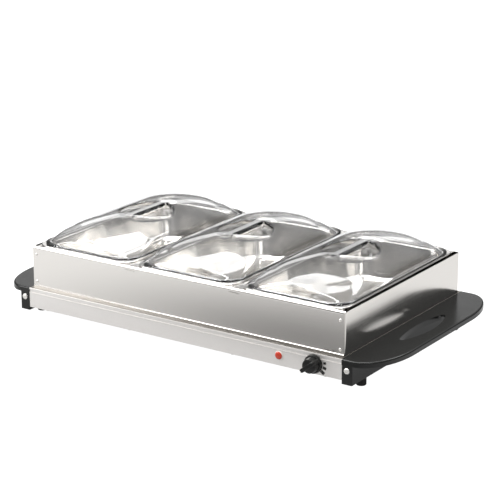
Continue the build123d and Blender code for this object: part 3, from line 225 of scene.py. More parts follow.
polished_stainless = polished("pressed_polished_stainless", "#E4E2DF", 0.16, 4.0)
nickel_plate = polished("nickel_plated_steel_screw", "#F2F0EC", 0.38, 0.03, wave_mm=4.0, metal=0.8)
zinc_sheet = polished("zinc_plated_steel_sheet", "#9FA3A6", 0.42, 0.3, wave_mm=12.0)
bright_foil = polished("bright_aluminium_reflector", "#DCDCDC", 0.22, 0.8, wave_mm=20.0)
element_sheath = polished("heat_tinted_steel_sheath", "#5E5650", 0.45, 0.1, wave_mm=9.0)
print("made", polished_stainless.name, "with waves", WAVE_MM, "mm long")

# %% [markdown]
# ## Plastics, rubber, ceramic and fibre
#
# The handles and the knob are moulded phenolic: black, with a fine spark-eroded
# grain that breaks the gloss up. Rubber and steatite have a similar grain but no
# gloss. One function makes them all, with the grain size in millimetres. Their
# gloss also varies a little over patches of about 30 mm, as handling leaves it.

# %% Moulded materials
PATCH_MM = 28.6
PATCH_SPREAD = 0.1
GRAIN_STRENGTH = 0.6


def moulded(name, colour, roughness, grain_mm, grain_depth_mm, **shader_values):
    """A moulded material: its grain bumps the surface and its gloss varies a little."""
    material, tree, shader, place = new_material(name, colour, **shader_values)
    grain = add_node(tree, "ShaderNodeTexNoise", inputs={
        "Vector": place, "Scale": 1.0 / (grain_mm * MM), "Detail": 2.0, "Roughness": 0.5})
    patches = add_node(tree, "ShaderNodeTexNoise", inputs={
        "Vector": place, "Scale": 1.0 / (PATCH_MM * MM), "Detail": 1.0})
    gloss = add_node(tree, "ShaderNodeMapRange", inputs={
        "Value": patches.outputs["Fac"],
        "To Min": (1 - PATCH_SPREAD) * roughness, "To Max": (1 + PATCH_SPREAD) * roughness})
    bump = add_node(tree, "ShaderNodeBump", inputs={
        "Height": grain.outputs["Fac"], "Strength": GRAIN_STRENGTH, "Distance": grain_depth_mm * MM})
    tree.links.new(gloss.outputs["Result"], shader.inputs["Roughness"])
    tree.links.new(bump.outputs["Normal"], shader.inputs["Normal"])
    return material


black_phenolic = moulded("moulded_black_phenolic", "#0E0F0E", 0.24, 0.9, 0.012, IOR=1.45)
black_rubber = moulded("moulded_black_rubber", "#161616", 0.75, 1.2, 0.06, IOR=1.52)
white_ring = moulded("moulded_white_nylon", "#E9E6DF", 0.4, 1.5, 0.02, IOR=1.53)
steatite = moulded("unglazed_steatite_ceramic", "#DCD7C8", 0.7, 0.8, 0.05, IOR=1.55)
glass_felt = moulded("needled_glass_fibre_felt", "#DCCFA6", 0.95, 2.5, 0.8, Sheen_Weight=0.3)
lead_sleeve = moulded("braided_glass_fibre_sleeve", "#CFC9B8", 0.8, 0.7, 0.15, Sheen_Weight=0.2)
printed_black = moulded("screen_printed_black_ink", "#121212", 0.5, 0.6, 0.01)
print("made", black_phenolic.name, "and six more")

# %% [markdown]
# ## Clear and coloured plastic
#
# The lids are clear polycarbonate, 2 mm thick. Real transmission through a
# closed wall gives the thin dark lines at the edges and the double lines round
# the grip, which a merely see-through surface doesn't. The plastic's index is
# 1.58, but with that every wall seen on edge goes black, because light that is
# trapped in it is lost after a few bounces. The wall's own index is lowered until
# its edges are as pale as real ones, and a coat with an index of 1.49 brings most
# of the reflections back. A very weak bump keeps them from being ruler straight.
# The lamp's lens is dyed right through and lets little light pass, so it is made
# as an opaque moulding with a glossy coat.

# %% Clear materials


def clear(name, colour, roughness, index, wave_mm, wave_depth_mm, **shader_values):
    """A clear moulding that light passes through, with a faint waviness."""
    material, tree, shader, place = new_material(
        name, colour, Roughness=roughness, IOR=index, Transmission_Weight=1.0, **shader_values)
    waves = add_node(tree, "ShaderNodeTexNoise", inputs={
        "Vector": place, "Scale": 1.0 / (wave_mm * MM), "Detail": 0.0})
    bump = add_node(tree, "ShaderNodeBump", inputs={
        "Height": waves.outputs["Fac"], "Strength": 1.0, "Distance": wave_depth_mm * MM})
    tree.links.new(bump.outputs["Normal"], shader.inputs["Normal"])
    return material


clear_lid = clear("clear_moulded_polycarbonate", "#FDFDFD", 0.0, 1.24, 40.0, 0.1,
                  Coat_Weight=1.0, Coat_IOR=1.49, Coat_Roughness=0.01)
neon_glass = clear("clear_neon_glass", "#F6DCC8", 0.02, 1.5, 5.0, 0.01)
red_lens = moulded("orange_red_moulded_lens", "#C93312", 0.14, 2.0, 0.01, IOR=1.49, Coat_Weight=0.6)
print("made", clear_lid.name)

# %% [markdown]
# ## A finish for every piece of the model
#
# The imported record names a material slot for each node, so one table from slot
# to material finishes them all. The pieces that are made again further down
# take theirs from the same table. Only the hot plate doesn't: it has the frame's
# slot, but its steel is rougher and darker, and the darker colour is painted
# shade, for the shade that falls on it between the frame and the rails.

# %% Assign the finishes
FINISH = {
    "satin_stainless": satin_stainless,
    "polished_stainless": polished_stainless,
    "brushed_aluminium": brushed_aluminium,
    "galvanised_sheet": zinc_sheet,
    "reflector_foil": bright_foil,
    "element_sheath": element_sheath,
    "bright_screw": nickel_plate,
    "bright_bezel": white_ring,
    "black_plastic": black_phenolic,
    "black_rubber": black_rubber,
    "clear_polycarbonate": clear_lid,
    "red_lens": red_lens,
    "neon_glass": neon_glass,
    "ceramic_white": steatite,
    "glass_fibre": glass_felt,
    "lead_sleeve": lead_sleeve,
}
SLOT_OF = {part["node"]: part["material_slot"] for part in frame["record"]["subparts"]}

for name, node_object in NODES.items():
    node_object.data.materials.clear()
    node_object.data.materials.append(FINISH[SLOT_OF[name]])
# The hot plate takes the darker steel, whose dark colour is painted shade.
NODES["hot_plate"].data.materials[0] = plate_stainless_painted_shade
print("finished", len(SLOT_OF), "nodes from", len(set(SLOT_OF.values())), "slots")

# %% [markdown]
# ## Meshes from rings
#
# The lids and the pans are rounded rectangles whose size changes with height.
# A loft would do, but rings of points at the same bearings, joined by quads,
# give even faces that take smooth shading well. The only thing to work out is
# how far a rounded rectangle reaches from its centre at a bearing.

# %% Ring helpers
NEARLY_ZERO = 1e-9
LARGEST_CORNER = 0.98


def reach(bearings, half_x, half_y, corner):
    """Distance from the centre to a rounded rectangle's edge at each bearing."""
    cos = np.maximum(np.abs(np.cos(bearings)), NEARLY_ZERO)
    sin = np.maximum(np.abs(np.sin(bearings)), NEARLY_ZERO)
    corner = min(corner, LARGEST_CORNER * min(half_x, half_y))
    core_x, core_y = half_x - corner, half_y - corner
    to_side, to_end = half_x / cos, half_y / sin
    along = cos * core_x + sin * core_y
    inside = along ** 2 - core_x ** 2 - core_y ** 2 + corner ** 2
    to_corner = along + np.sqrt(np.maximum(inside, 0.0))
    on_end_or_corner = np.where(to_end * cos <= core_x, to_end, to_corner)
    return np.where(to_side * sin <= core_y, to_side, on_end_or_corner)


def ring(centre, bearings, distances, heights):
    """Points round a centre, one for each bearing."""
    heights = np.broadcast_to(heights, bearings.shape)
    across = centre[0] + distances * np.cos(bearings)
    along = centre[1] + distances * np.sin(bearings)
    return np.stack([across, along, heights], axis=1)


def bridge(first, second, count):
    """Quads between two rings of the same number of points, by their first index."""
    following = [(k + 1) % count for k in range(count)]
    return [(first + k, first + n, second + n, second + k) for k, n in enumerate(following)]


def new_piece(name, points, faces, material):
    """A smooth mesh object at the origin, with its place in its points."""
    mesh = bpy.data.meshes.new(name)
    mesh.from_pydata([tuple(p) for p in points], [], faces)
    mesh.materials.append(material)
    mesh.shade_smooth()
    piece = bpy.data.objects.new(name, mesh)
    bpy.context.scene.collection.objects.link(piece)
    return piece


def apply_modifiers(piece):
    """Turns a piece with modifiers into a plain mesh."""
    graph = bpy.context.evaluated_depsgraph_get()
    mesh = bpy.data.meshes.new_from_object(piece.evaluated_get(graph))
    piece.modifiers.clear()
    piece.data = mesh
    return piece


print("a 2 by 1 box reaches", reach(np.array([0.0, math.pi / 2]), 2.0, 1.0, 0.1))

# %% [markdown]
# ## The pans
#
# Each pan is pressed from 0.8 mm sheet: a flat rim with its edge turned down, a
# rolled shoulder, walls that lean in so that pans stack, and a floor with a
# generous radius. The radii are what catch the light as thin bright lines. The
# skin is made once as rings from the edge to the floor's middle, and Solidify
# gives it its thickness.

# %% Pans
PAN_SHEET = 0.8 * MM
PAN_RIM = 12.0 * MM
PAN_CORNER = 20.0 * MM
PAN_WELL_CORNER = 24.0 * MM
PAN_SLOPE = 9.0 * MM
PAN_EDGE_RADIUS = 0.8 * MM
PAN_SHOULDER_RADIUS = 3.0 * MM
PAN_FLOOR_RADIUS = 7.2 * MM
PAN_COLUMNS = 224
ARC_STEPS = 6
WALL_SHARES = (0.25, 0.5, 0.75)
FLOOR_SHARES = (0.3, 0.6, 0.85)


def pan_profile(low, high):
    """The pan's section as (inset from the rim's edge, height), from the edge to the floor."""
    well = PAN_RIM + PAN_SHEET
    floor = low + PAN_SHEET
    lean = math.atan2(PAN_SLOPE, high - low)
    profile = [(0.0, high - 2 * PAN_EDGE_RADIUS)]
    for k in range(ARC_STEPS + 1):
        angle = math.pi / 2 * k / ARC_STEPS
        drop = PAN_EDGE_RADIUS * (1 - math.sin(angle))
        profile.append((PAN_EDGE_RADIUS * (1 - math.cos(angle)), high - drop))
    shoulder = well - PAN_SHOULDER_RADIUS
    for k in range(ARC_STEPS + 1):
        angle = (math.pi / 2 - lean) * k / ARC_STEPS
        drop = PAN_SHOULDER_RADIUS * (1 - math.cos(angle))
        profile.append((shoulder + PAN_SHOULDER_RADIUS * math.sin(angle), high - drop))
    foot = well + PAN_SLOPE + PAN_FLOOR_RADIUS * math.tan((math.pi / 2 - lean) / 2)

    def floor_arc(angle):
        inset = foot - PAN_FLOOR_RADIUS * math.cos(angle)
        return inset, floor + PAN_FLOOR_RADIUS * (1 - math.sin(angle))

    top_of_wall, foot_of_wall = profile[-1], floor_arc(lean)
    for share in WALL_SHARES:
        profile.append(tuple(a + (b - a) * share for a, b in zip(top_of_wall, foot_of_wall)))
    for k in range(ARC_STEPS + 1):
        profile.append(floor_arc(lean + (math.pi / 2 - lean) * k / ARC_STEPS))
    return profile


def make_pan(node):
    """One pan, in the place of its node."""
    low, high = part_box(node)
    centre = (low + high) / 2
    half = (high - low) / 2
    bearings = np.arange(PAN_COLUMNS) / PAN_COLUMNS * 2 * math.pi
    profile = pan_profile(low.z, high.z)
    floor_start = profile[-1][0]
    for share in FLOOR_SHARES:
        profile.append((floor_start + (half.x - floor_start) * share, profile[-1][1]))
    points, faces = [], []
    for inset, height in profile:
        blend = min(inset / PAN_RIM, 1.0)
        corner = PAN_CORNER + (PAN_WELL_CORNER - PAN_CORNER) * blend
        distance = reach(bearings, half.x - inset, half.y - inset, corner)
        if points:
            faces += bridge(len(points) - PAN_COLUMNS, len(points), PAN_COLUMNS)
        points += list(ring(centre, bearings, distance, height))
    last = len(points) - PAN_COLUMNS
    faces.append(tuple(range(last, len(points))))
    pan = new_piece(node + "_pressing", points, faces, polished_stainless)
    wall = pan.modifiers.new("sheet", "SOLIDIFY")
    wall.thickness = PAN_SHEET
    wall.offset = -1.0
    apply_modifiers(pan)
    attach(pan, node)
    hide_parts(node)
    return pan


PANS = [make_pan(f"pan_{i}") for i in (1, 2, 3)]
print("pans:", [(p.name, len(p.data.polygons)) for p in PANS])

# %% [markdown]
# ## The lids
#
# A lid is one moulding of even thickness: a flat flange that sits on the pan's
# rim, a dome, and a round grip sunk into its crown, where two half-moon pockets
# leave a ridge for the fingers. It could be cut with booleans, but those leave
# slivers that show in clear plastic. Rings again give clean faces: the dome
# runs from its foot to the grip's circle, the ridge's top carries on across it,
# and each pocket is its own outline pushed down to its floor. Bevel rounds the
# edges, as a mould has to, and Solidify gives the wall.

# %% The dome's shape
LID_WALL = 2.0 * MM
LID_FLANGE_SIDE = 3.6 * MM
LID_FLANGE_END = 8.0 * MM
LID_CORNER = 30.0 * MM
LID_SEAT_GAP = 0.15 * MM
DOME_SPREAD = 87.0 * MM
DOME_TOP_SHARE = 0.985
ACROSS_POWER, ACROSS_FULLNESS = 2.1, 0.55
ALONG_POWER, ALONG_FULLNESS = 2.9, 0.38
HALVINGS = 30


def dome_reach(bearings, share, half):
    """How far the dome reaches at a share of its height; it shrinks faster across than along."""
    half_x = half[0] * max(1 - share ** ACROSS_POWER, 0.0) ** ACROSS_FULLNESS
    half_y = half[1] * max(1 - share ** ALONG_POWER, 0.0) ** ALONG_FULLNESS
    return reach(bearings, half_x, half_y, LID_CORNER + DOME_SPREAD * share)


def dome_share(bearing, distance, half):
    """The share of the dome's height at a place, found by halving."""
    low, high = 0.0, DOME_TOP_SHARE
    one = np.array([bearing])
    if dome_reach(one, high, half)[0] >= distance:
        return high
    for _ in range(HALVINGS):
        middle = (low + high) / 2
        if dome_reach(one, middle, half)[0] > distance:
            low = middle
        else:
            high = middle
    return low


print("half way up, a 170 mm dome reaches", dome_reach(np.array([0.0]), 0.5, (0.085, 0.14)))

# %% The dome's rings, the ridge and the pockets
GRIP_RADIUS = 42.5 * MM
GRIP_DEPTH = 10.5 * MM
GRIP_RIDGE = 12.0 * MM
DOME_RINGS = 26
POCKET_COLUMNS = 84
RIDGE_COLUMNS = 8
RIDGE_ROWS = 24
LID_COLUMNS = 2 * (POCKET_COLUMNS + RIDGE_COLUMNS)


def lid_bearings():
    """Bearings round the lid that include the ridge's four corners exactly."""
    corner = math.acos(GRIP_RIDGE / 2 / GRIP_RADIUS)
    right = np.linspace(-corner, corner, POCKET_COLUMNS, endpoint=False)
    top = np.linspace(corner, math.pi - corner, RIDGE_COLUMNS, endpoint=False)
    return np.concatenate([right, top, right + math.pi, top + math.pi])


def dome_rings(centre, half_box, half, foot_z, rise):
    """Points and faces from the flange's edge to the last ring, which is the grip's circle."""
    bearings = lid_bearings()
    rim_share = np.array([dome_share(b, GRIP_RADIUS, half) for b in bearings])
    edge = reach(bearings, half_box.x, half_box.y, LID_CORNER)
    points, faces = list(ring(centre, bearings, edge, foot_z)), []
    for k in range(DOME_RINGS + 1):
        shares = rim_share * math.sin(math.pi / 2 * k / DOME_RINGS)
        if k < DOME_RINGS:
            pairs = zip(bearings, shares)
            distance = np.array([dome_reach(np.array([b]), share, half)[0] for b, share in pairs])
        else:
            distance = np.full(LID_COLUMNS, GRIP_RADIUS)
        faces += bridge(len(points) - LID_COLUMNS, len(points), LID_COLUMNS)
        points += list(ring(centre, bearings, distance, foot_z + rise * shares))
    return points, faces


def add_ridge(points, faces, rim, centre, height_at):
    """The ridge's top, as rows of points from its near end on the rim to its far end."""
    near = list(range(rim + LID_COLUMNS - RIDGE_COLUMNS, rim + LID_COLUMNS)) + [rim]
    far = list(range(rim + POCKET_COLUMNS, rim + POCKET_COLUMNS + RIDGE_COLUMNS + 1))[::-1]
    rows = [near]
    for row in range(1, RIDGE_ROWS):
        share = row / RIDGE_ROWS
        line = []
        for a, b in zip(near, far):
            x = (points[a][0] + (points[b][0] - points[a][0]) * share) - centre.x
            y = (points[a][1] + (points[b][1] - points[a][1]) * share) - centre.y
            line.append(len(points))
            points.append((centre.x + x, centre.y + y, height_at(x, y)))
        rows.append(line)
    rows.append(far)
    for upper, lower in zip(rows, rows[1:]):
        faces += [(upper[k], upper[k + 1], lower[k + 1], lower[k]) for k in range(RIDGE_COLUMNS)]
    return rows


def add_pocket(points, faces, outline, floor_z):
    """A half-moon pocket: its outline, the same outline on its floor, and the wall between."""
    size = len(outline)
    floor = list(range(len(points), len(points) + size))
    points += [(points[index][0], points[index][1], floor_z) for index in outline]
    for k in range(size):
        n = (k + 1) % size
        faces.append((outline[k], outline[n], floor[n], floor[k]))
    faces.append(tuple(floor))


print("a lid has", LID_COLUMNS, "columns")

# %% Lids
LID_EDGE_RADIUS = 0.9 * MM
LID_EDGE_ANGLE = math.radians(35)
EDGE_SEGMENTS = 3


def round_edges(piece, radius, angle):
    """Adds a Bevel to the edges that turn by more than an angle."""
    edges = piece.modifiers.new("rounded edges", "BEVEL")
    edges.width = radius
    edges.segments = EDGE_SEGMENTS
    edges.limit_method = "ANGLE"
    edges.angle_limit = angle
    edges.use_clamp_overlap = True


def make_lid(node):
    """One lid, in the place of its node."""
    low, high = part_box(node)
    centre, half_box = (low + high) / 2, (high - low) / 2
    half = (half_box.x - LID_FLANGE_SIDE, half_box.y - LID_FLANGE_END)
    foot_z = low.z + LID_SEAT_GAP + LID_WALL
    rise = (high.z - foot_z) / DOME_TOP_SHARE

    def height_at(x, y):
        return foot_z + rise * dome_share(math.atan2(y, x), math.hypot(x, y), half)

    points, faces = dome_rings(centre, half_box, half, foot_z, rise)
    rim = len(points) - LID_COLUMNS
    rows = add_ridge(points, faces, rim, centre, height_at)
    left_start = rim + POCKET_COLUMNS + RIDGE_COLUMNS
    right = list(range(rim, rim + POCKET_COLUMNS + 1)) + [row[-1] for row in rows[1:-1]][::-1]
    left = list(range(left_start, left_start + POCKET_COLUMNS + 1)) + [row[0] for row in rows[1:-1]]
    for outline in (right, left):
        add_pocket(points, faces, outline, high.z - GRIP_DEPTH)

    lid = new_piece(node + "_moulding", points, faces, clear_lid)
    round_edges(lid, LID_EDGE_RADIUS, LID_EDGE_ANGLE)
    wall = lid.modifiers.new("wall", "SOLIDIFY")
    wall.thickness = LID_WALL
    wall.offset = -1.0
    apply_modifiers(lid)
    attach(lid, node)
    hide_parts(node)
    return lid


LIDS = [make_lid(f"lid_{i}") for i in (1, 2, 3)]
print("lids:", [(lid.name, len(lid.data.polygons)) for lid in LIDS])

# %% [markdown]
# ## Turned pieces
#
# Rivet heads, screw heads, the lamp's lens and its ring are all round, so each
# is a profile spun about its own axis. Their profiles are short lists of
# (radius, height), and a point on the axis closes the pole.

# %% Lathe
HEAD_SINK = 0.3 * MM


def turned(profile, steps):
    """Points and faces of a profile turned about Z, closed where its radius is 0."""
    points, faces, previous = [], [], None
    for radius, height in profile:
        if radius == 0:
            current = [len(points)]
            points.append((0.0, 0.0, height))
        else:
            current = list(range(len(points), len(points) + steps))
            angles = [2 * math.pi * k / steps for k in range(steps)]
            points += [(radius * math.cos(a), radius * math.sin(a), height) for a in angles]
        if previous is not None:
            for k in range(steps):
                n = (k + 1) % steps
                corners = [previous[k % len(previous)], previous[n % len(previous)],
                           current[n % len(current)], current[k % len(current)]]
                faces.append(tuple(dict.fromkeys(corners)))
        previous = current
    return points, faces


def dome_profile(radius, height):
    """A shallow round head, from just inside what it sits on to its crown."""
    angles = [math.pi / 2 * k / ARC_STEPS for k in range(ARC_STEPS)]
    arc = [(radius * math.cos(a), height * math.sin(a)) for a in angles]
    return [(0, -HEAD_SINK), (radius, -HEAD_SINK)] + arc + [(0, height)]


def face_outwards(piece):
    """Turns a closed mesh's faces so that they all point outwards."""
    mesh = bmesh.new()
    mesh.from_mesh(piece.data)
    bmesh.ops.recalc_face_normals(mesh, faces=mesh.faces)
    mesh.to_mesh(piece.data)
    mesh.free()


def template(name, profile, steps, material):
    """A turned piece at the origin, a pattern for instances that is removed once they are made."""
    points, faces = turned(profile, steps)
    piece = new_piece(name, points, faces, material)
    face_outwards(piece)
    return piece


print("a rivet's profile has", len(dome_profile(1.0, 0.5)), "points")

# %% [markdown]
# ## Rivets and screws with Geometry Nodes
#
# A head that repeats is worth one tree: it puts a pattern on each point of a
# small mesh, turns it to face the way that point's "facing" attribute says, and
# spins it by a random angle, since no fitter lines up every recess. The tree
# realises its instances and sets the material, and the result becomes a plain
# mesh, because instances are dropped when the model is exported.

# %% The head tree
# A Random Value node keeps sockets for every kind of number; these are the ones for Float.
RANDOM_FLOAT_MAX, RANDOM_FLOAT = 3, 1
HEAD_SMOOTH_ANGLE = math.radians(40)


def head_tree():
    """A node group that puts a head on each point, turned to face outwards and spun at random."""
    tree = bpy.data.node_groups.new("heads_on_points", "GeometryNodeTree")
    face = tree.interface
    face.new_socket("Geometry", in_out="INPUT", socket_type="NodeSocketGeometry")
    for name, kind in (("Head", "Object"), ("Size", "Float"), ("Seed", "Int"), ("Finish", "Material")):
        face.new_socket(name, in_out="INPUT", socket_type="NodeSocket" + kind)
    face.new_socket("Geometry", in_out="OUTPUT", socket_type="NodeSocketGeometry")
    given = add_node(tree, "NodeGroupInput").outputs
    facing = add_node(tree, "GeometryNodeInputNamedAttribute", {"data_type": "FLOAT_VECTOR"},
                      {"Name": "facing"})
    turn = add_node(tree, "FunctionNodeAlignRotationToVector", {"axis": "Z"},
                    {"Vector": facing.outputs["Attribute"]})
    spin = add_node(tree, "FunctionNodeRandomValue", {"data_type": "FLOAT"},
                    {"Seed": given["Seed"], RANDOM_FLOAT_MAX: 2 * math.pi})
    angle = add_node(tree, "ShaderNodeCombineXYZ", inputs={"Z": spin.outputs[RANDOM_FLOAT]})
    head = add_node(tree, "GeometryNodeObjectInfo", inputs={"Object": given["Head"]})
    place = add_node(tree, "GeometryNodeInstanceOnPoints", inputs={
        "Points": given["Geometry"], "Instance": head.outputs["Geometry"],
        "Rotation": turn.outputs["Rotation"], "Scale": given["Size"]})
    spun = add_node(tree, "GeometryNodeRotateInstances", inputs={
        "Instances": place.outputs["Instances"], "Rotation": angle.outputs["Vector"]})
    real = add_node(tree, "GeometryNodeRealizeInstances", inputs={"Geometry": spun.outputs["Instances"]})
    done = add_node(tree, "GeometryNodeSetMaterial", inputs={
        "Geometry": real.outputs["Geometry"], "Material": given["Finish"]})
    add_node(tree, "NodeGroupOutput", inputs={"Geometry": done.outputs["Geometry"]})
    return tree


HEADS = head_tree()


def set_inputs(modifier, tree, values):
    """Sets a Geometry Nodes modifier's inputs by name, through their identifiers."""
    for item in tree.interface.items_tree:
        if item.in_out == "INPUT" and item.name in values:
            modifier[item.identifier] = values[item.name]


def put_heads(name, places, pattern, seed, material):
    """A plain mesh with one head at each (place, facing) pair."""
    mesh = bpy.data.meshes.new(name)
    mesh.from_pydata([tuple(place) for place, _ in places], [], [])
    attribute = mesh.attributes.new("facing", "FLOAT_VECTOR", "POINT")
    attribute.data.foreach_set("vector", [v for _, facing in places for v in facing])
    heads = bpy.data.objects.new(name, mesh)
    bpy.context.scene.collection.objects.link(heads)
    modifier = heads.modifiers.new("heads", "NODES")
    modifier.node_group = HEADS
    set_inputs(modifier, HEADS, {"Head": pattern, "Size": 1.0, "Seed": seed, "Finish": material})
    apply_modifiers(heads)
    heads.data.shade_smooth()
    heads.data.set_sharp_from_angle(angle=HEAD_SMOOTH_ANGLE)
    return heads


print("the head tree has", len(HEADS.nodes), "nodes")

# %% [markdown]
# ## Rivet heads
#
# The frame's corners are closed with eight pop rivets, as bright as the screws. A
# pop rivet's head is a low dome with a small hollow where its pin broke off. The
# pattern's profile has that hollow, and the places come from the rivets' box.

# %% Rivets
RIVET_RADIUS = 2.4 * MM
RIVET_DOME = 1.3 * MM
RIVET_PROUD = 1.4 * MM
RIVET_ARC = math.radians(70)
RIVET_ARC_STEPS = 4
RIVET_STEPS = 28
RIVET_SEED = 3
HOLLOW_RADIUS = 0.765 * MM
HOLLOW_EDGE, HOLLOW_FLOOR = 0.55 * RIVET_DOME, 0.5 * RIVET_DOME
FRONT, REAR = Vector((0, -1, 0)), Vector((0, 1, 0))


def corner_places(node, radius, proud):
    """The places of four heads on each of a node's front and rear ends, from its box."""
    low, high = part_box(node)
    places = []
    for y, facing in ((low.y + proud, FRONT), (high.y - proud, REAR)):
        for x in (low.x + radius, high.x - radius):
            for z in sorted({round(low.z + radius, 6), round(high.z - radius, 6)}):
                places.append(((x, y, z), facing))
    return places


rivet_profile = [(0, -HEAD_SINK), (RIVET_RADIUS, -HEAD_SINK)]
for k in range(RIVET_ARC_STEPS + 1):
    a = RIVET_ARC * k / RIVET_ARC_STEPS
    rivet_profile.append((RIVET_RADIUS * math.cos(a), RIVET_DOME * math.sin(a)))
rivet_profile += [(HOLLOW_RADIUS, HOLLOW_EDGE), (0, HOLLOW_FLOOR)]
rivet_pattern = template("rivet_pattern", rivet_profile, RIVET_STEPS, nickel_plate)
rivet_places = corner_places("frame_rivets", RIVET_RADIUS, RIVET_PROUD)
rivets = put_heads("rivet_heads", rivet_places, rivet_pattern, RIVET_SEED, nickel_plate)
bpy.data.objects.remove(rivet_pattern)
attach(rivets, "buffet_frame")
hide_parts("frame_rivets")
print("rivet heads:", len(rivets.data.polygons), "faces")

# %% [markdown]
# ## Handle screws
#
# The handles are held by pan-head screws with a cross recess. A Boolean cuts the
# recess into the pattern once, before it is repeated: on one small closed solid
# that is quick and leaves clean edges.

# %% Screw heads with a cross recess
SCREW_RADIUS = 4.5 * MM
SCREW_HEIGHT = 2.1 * MM
SCREW_PROUD = 2.2 * MM
SCREW_STEPS = 36
SCREW_SEED = 11
CROSS_LENGTH = 3.6 * MM
CROSS_WIDTH = 0.8 * MM
CROSS_DEPTH = 0.9 * MM


def cross_cut(piece, length, width, top, depth):
    """Cuts a cross recess into the top of a pattern."""
    long, wide = length / 2, width / 2
    arm = [(long, wide), (wide, wide), (wide, long)]
    outline = []
    for _ in range(4):
        outline += arm
        arm = [(-y, x) for x, y in arm]
    size = len(outline)
    points = [(x, y, z) for z in (top - depth, top + depth) for x, y in outline]
    ends = [tuple(range(size))[::-1], tuple(range(size, 2 * size))]
    cutter = new_piece("cross_cutter", points, bridge(0, size, size) + ends, nickel_plate)
    cut = piece.modifiers.new("cross", "BOOLEAN")
    cut.object = cutter
    cut.operation = "DIFFERENCE"
    apply_modifiers(piece)
    bpy.data.objects.remove(cutter)
    return piece


screw_profile = dome_profile(SCREW_RADIUS, SCREW_HEIGHT)
screw_pattern = template("screw_pattern", screw_profile, SCREW_STEPS, nickel_plate)
cross_cut(screw_pattern, CROSS_LENGTH, CROSS_WIDTH, SCREW_HEIGHT, CROSS_DEPTH)
screw_low, screw_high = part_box("handle_screws")
screw_z = (screw_low.z + screw_high.z) / 2
screw_places = [((x, y, screw_z), facing)
                for y, facing in ((screw_low.y + SCREW_PROUD, FRONT), (screw_high.y - SCREW_PROUD, REAR))
                for x in (screw_low.x + SCREW_RADIUS, screw_high.x - SCREW_RADIUS)]
screws = put_heads("handle_screw_heads", screw_places, screw_pattern, SCREW_SEED, nickel_plate)
bpy.data.objects.remove(screw_pattern)
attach(screws, "base")
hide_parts("handle_screws")
print("handle screws at", [tuple(round(v, 3) for v in place) for place, _ in screw_places])

# %% [markdown]
# ## The lamp
#
# The indicator lamp is an orange-red lens in a pale ring. Both are turned, then
# laid over so that their axis points to the front.

# %% Lamp lens and ring
LAMP_STEPS = 48
LAMP_LAND = 1.0 * MM
RING_CHAMFER = 0.6 * MM
LENS_CLEARANCE = 0.02 * MM
LENS_RINGS = 7
LENS_FULLNESS = 0.6
MOULDED_SMOOTH_ANGLE = math.radians(50)


def facing_front(name, profile, centre, material):
    """A turned piece whose axis points to the front, from a centre on the rail's face."""
    points, faces = turned(profile, LAMP_STEPS)
    placed = [(centre.x + x, centre.y - z, centre.z + y) for x, y, z in points]
    piece = new_piece(name, placed, faces, material)
    face_outwards(piece)
    piece.data.set_sharp_from_angle(angle=MOULDED_SMOOTH_ANGLE)
    return piece


ring_low, ring_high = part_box("lamp_bezel")
lens_low, lens_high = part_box("lamp_lens")
lamp_centre = Vector(((ring_low.x + ring_high.x) / 2, ring_high.y, (ring_low.z + ring_high.z) / 2))
ring_radius = (ring_high.x - ring_low.x) / 2
ring_height = ring_high.y - ring_low.y
lens_radius = (lens_high.x - lens_low.x) / 2
lens_height = ring_high.y - lens_low.y
lamp_bore = lens_radius - LAMP_LAND

ring_profile = [
    (lamp_bore, 0), (ring_radius, 0), (ring_radius, 0.5 * ring_height),
    (ring_radius - RING_CHAMFER / 2, 0.9 * ring_height), (ring_radius - RING_CHAMFER, ring_height),
    (lens_radius, ring_height), (lamp_bore, ring_height), (lamp_bore, 0)]
lamp_ring = facing_front("lamp_ring", ring_profile, lamp_centre, white_ring)
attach(lamp_ring, "base")
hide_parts("lamp_bezel")

lens_foot = ring_height + LENS_CLEARANCE
lens_profile = [(0, lens_foot), (lens_radius, lens_foot)]
for k in range(LENS_RINGS):
    a = math.pi / 2 * k / LENS_RINGS
    lens_profile.append((lens_radius * math.cos(a) ** LENS_FULLNESS,
                         ring_height + (lens_height - ring_height) * math.sin(a)))
lens_profile.append((0, lens_height))
lamp_lens = facing_front("lamp_lens_dome", lens_profile, lamp_centre, red_lens)
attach(lamp_lens, "base")
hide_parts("lamp_lens")
print("lamp at", tuple(round(v, 4) for v in lamp_centre))

# %% [markdown]
# ## The dial
#
# The dial is three printed marks that grow in the direction that heats, and a
# small one for off. Three marks on an arc that grow by rule are a good small
# tree: points by index, a bar on each, and a scale that rises with the index.

# %% The dial tree
MARK_PROPORTION = 1.3


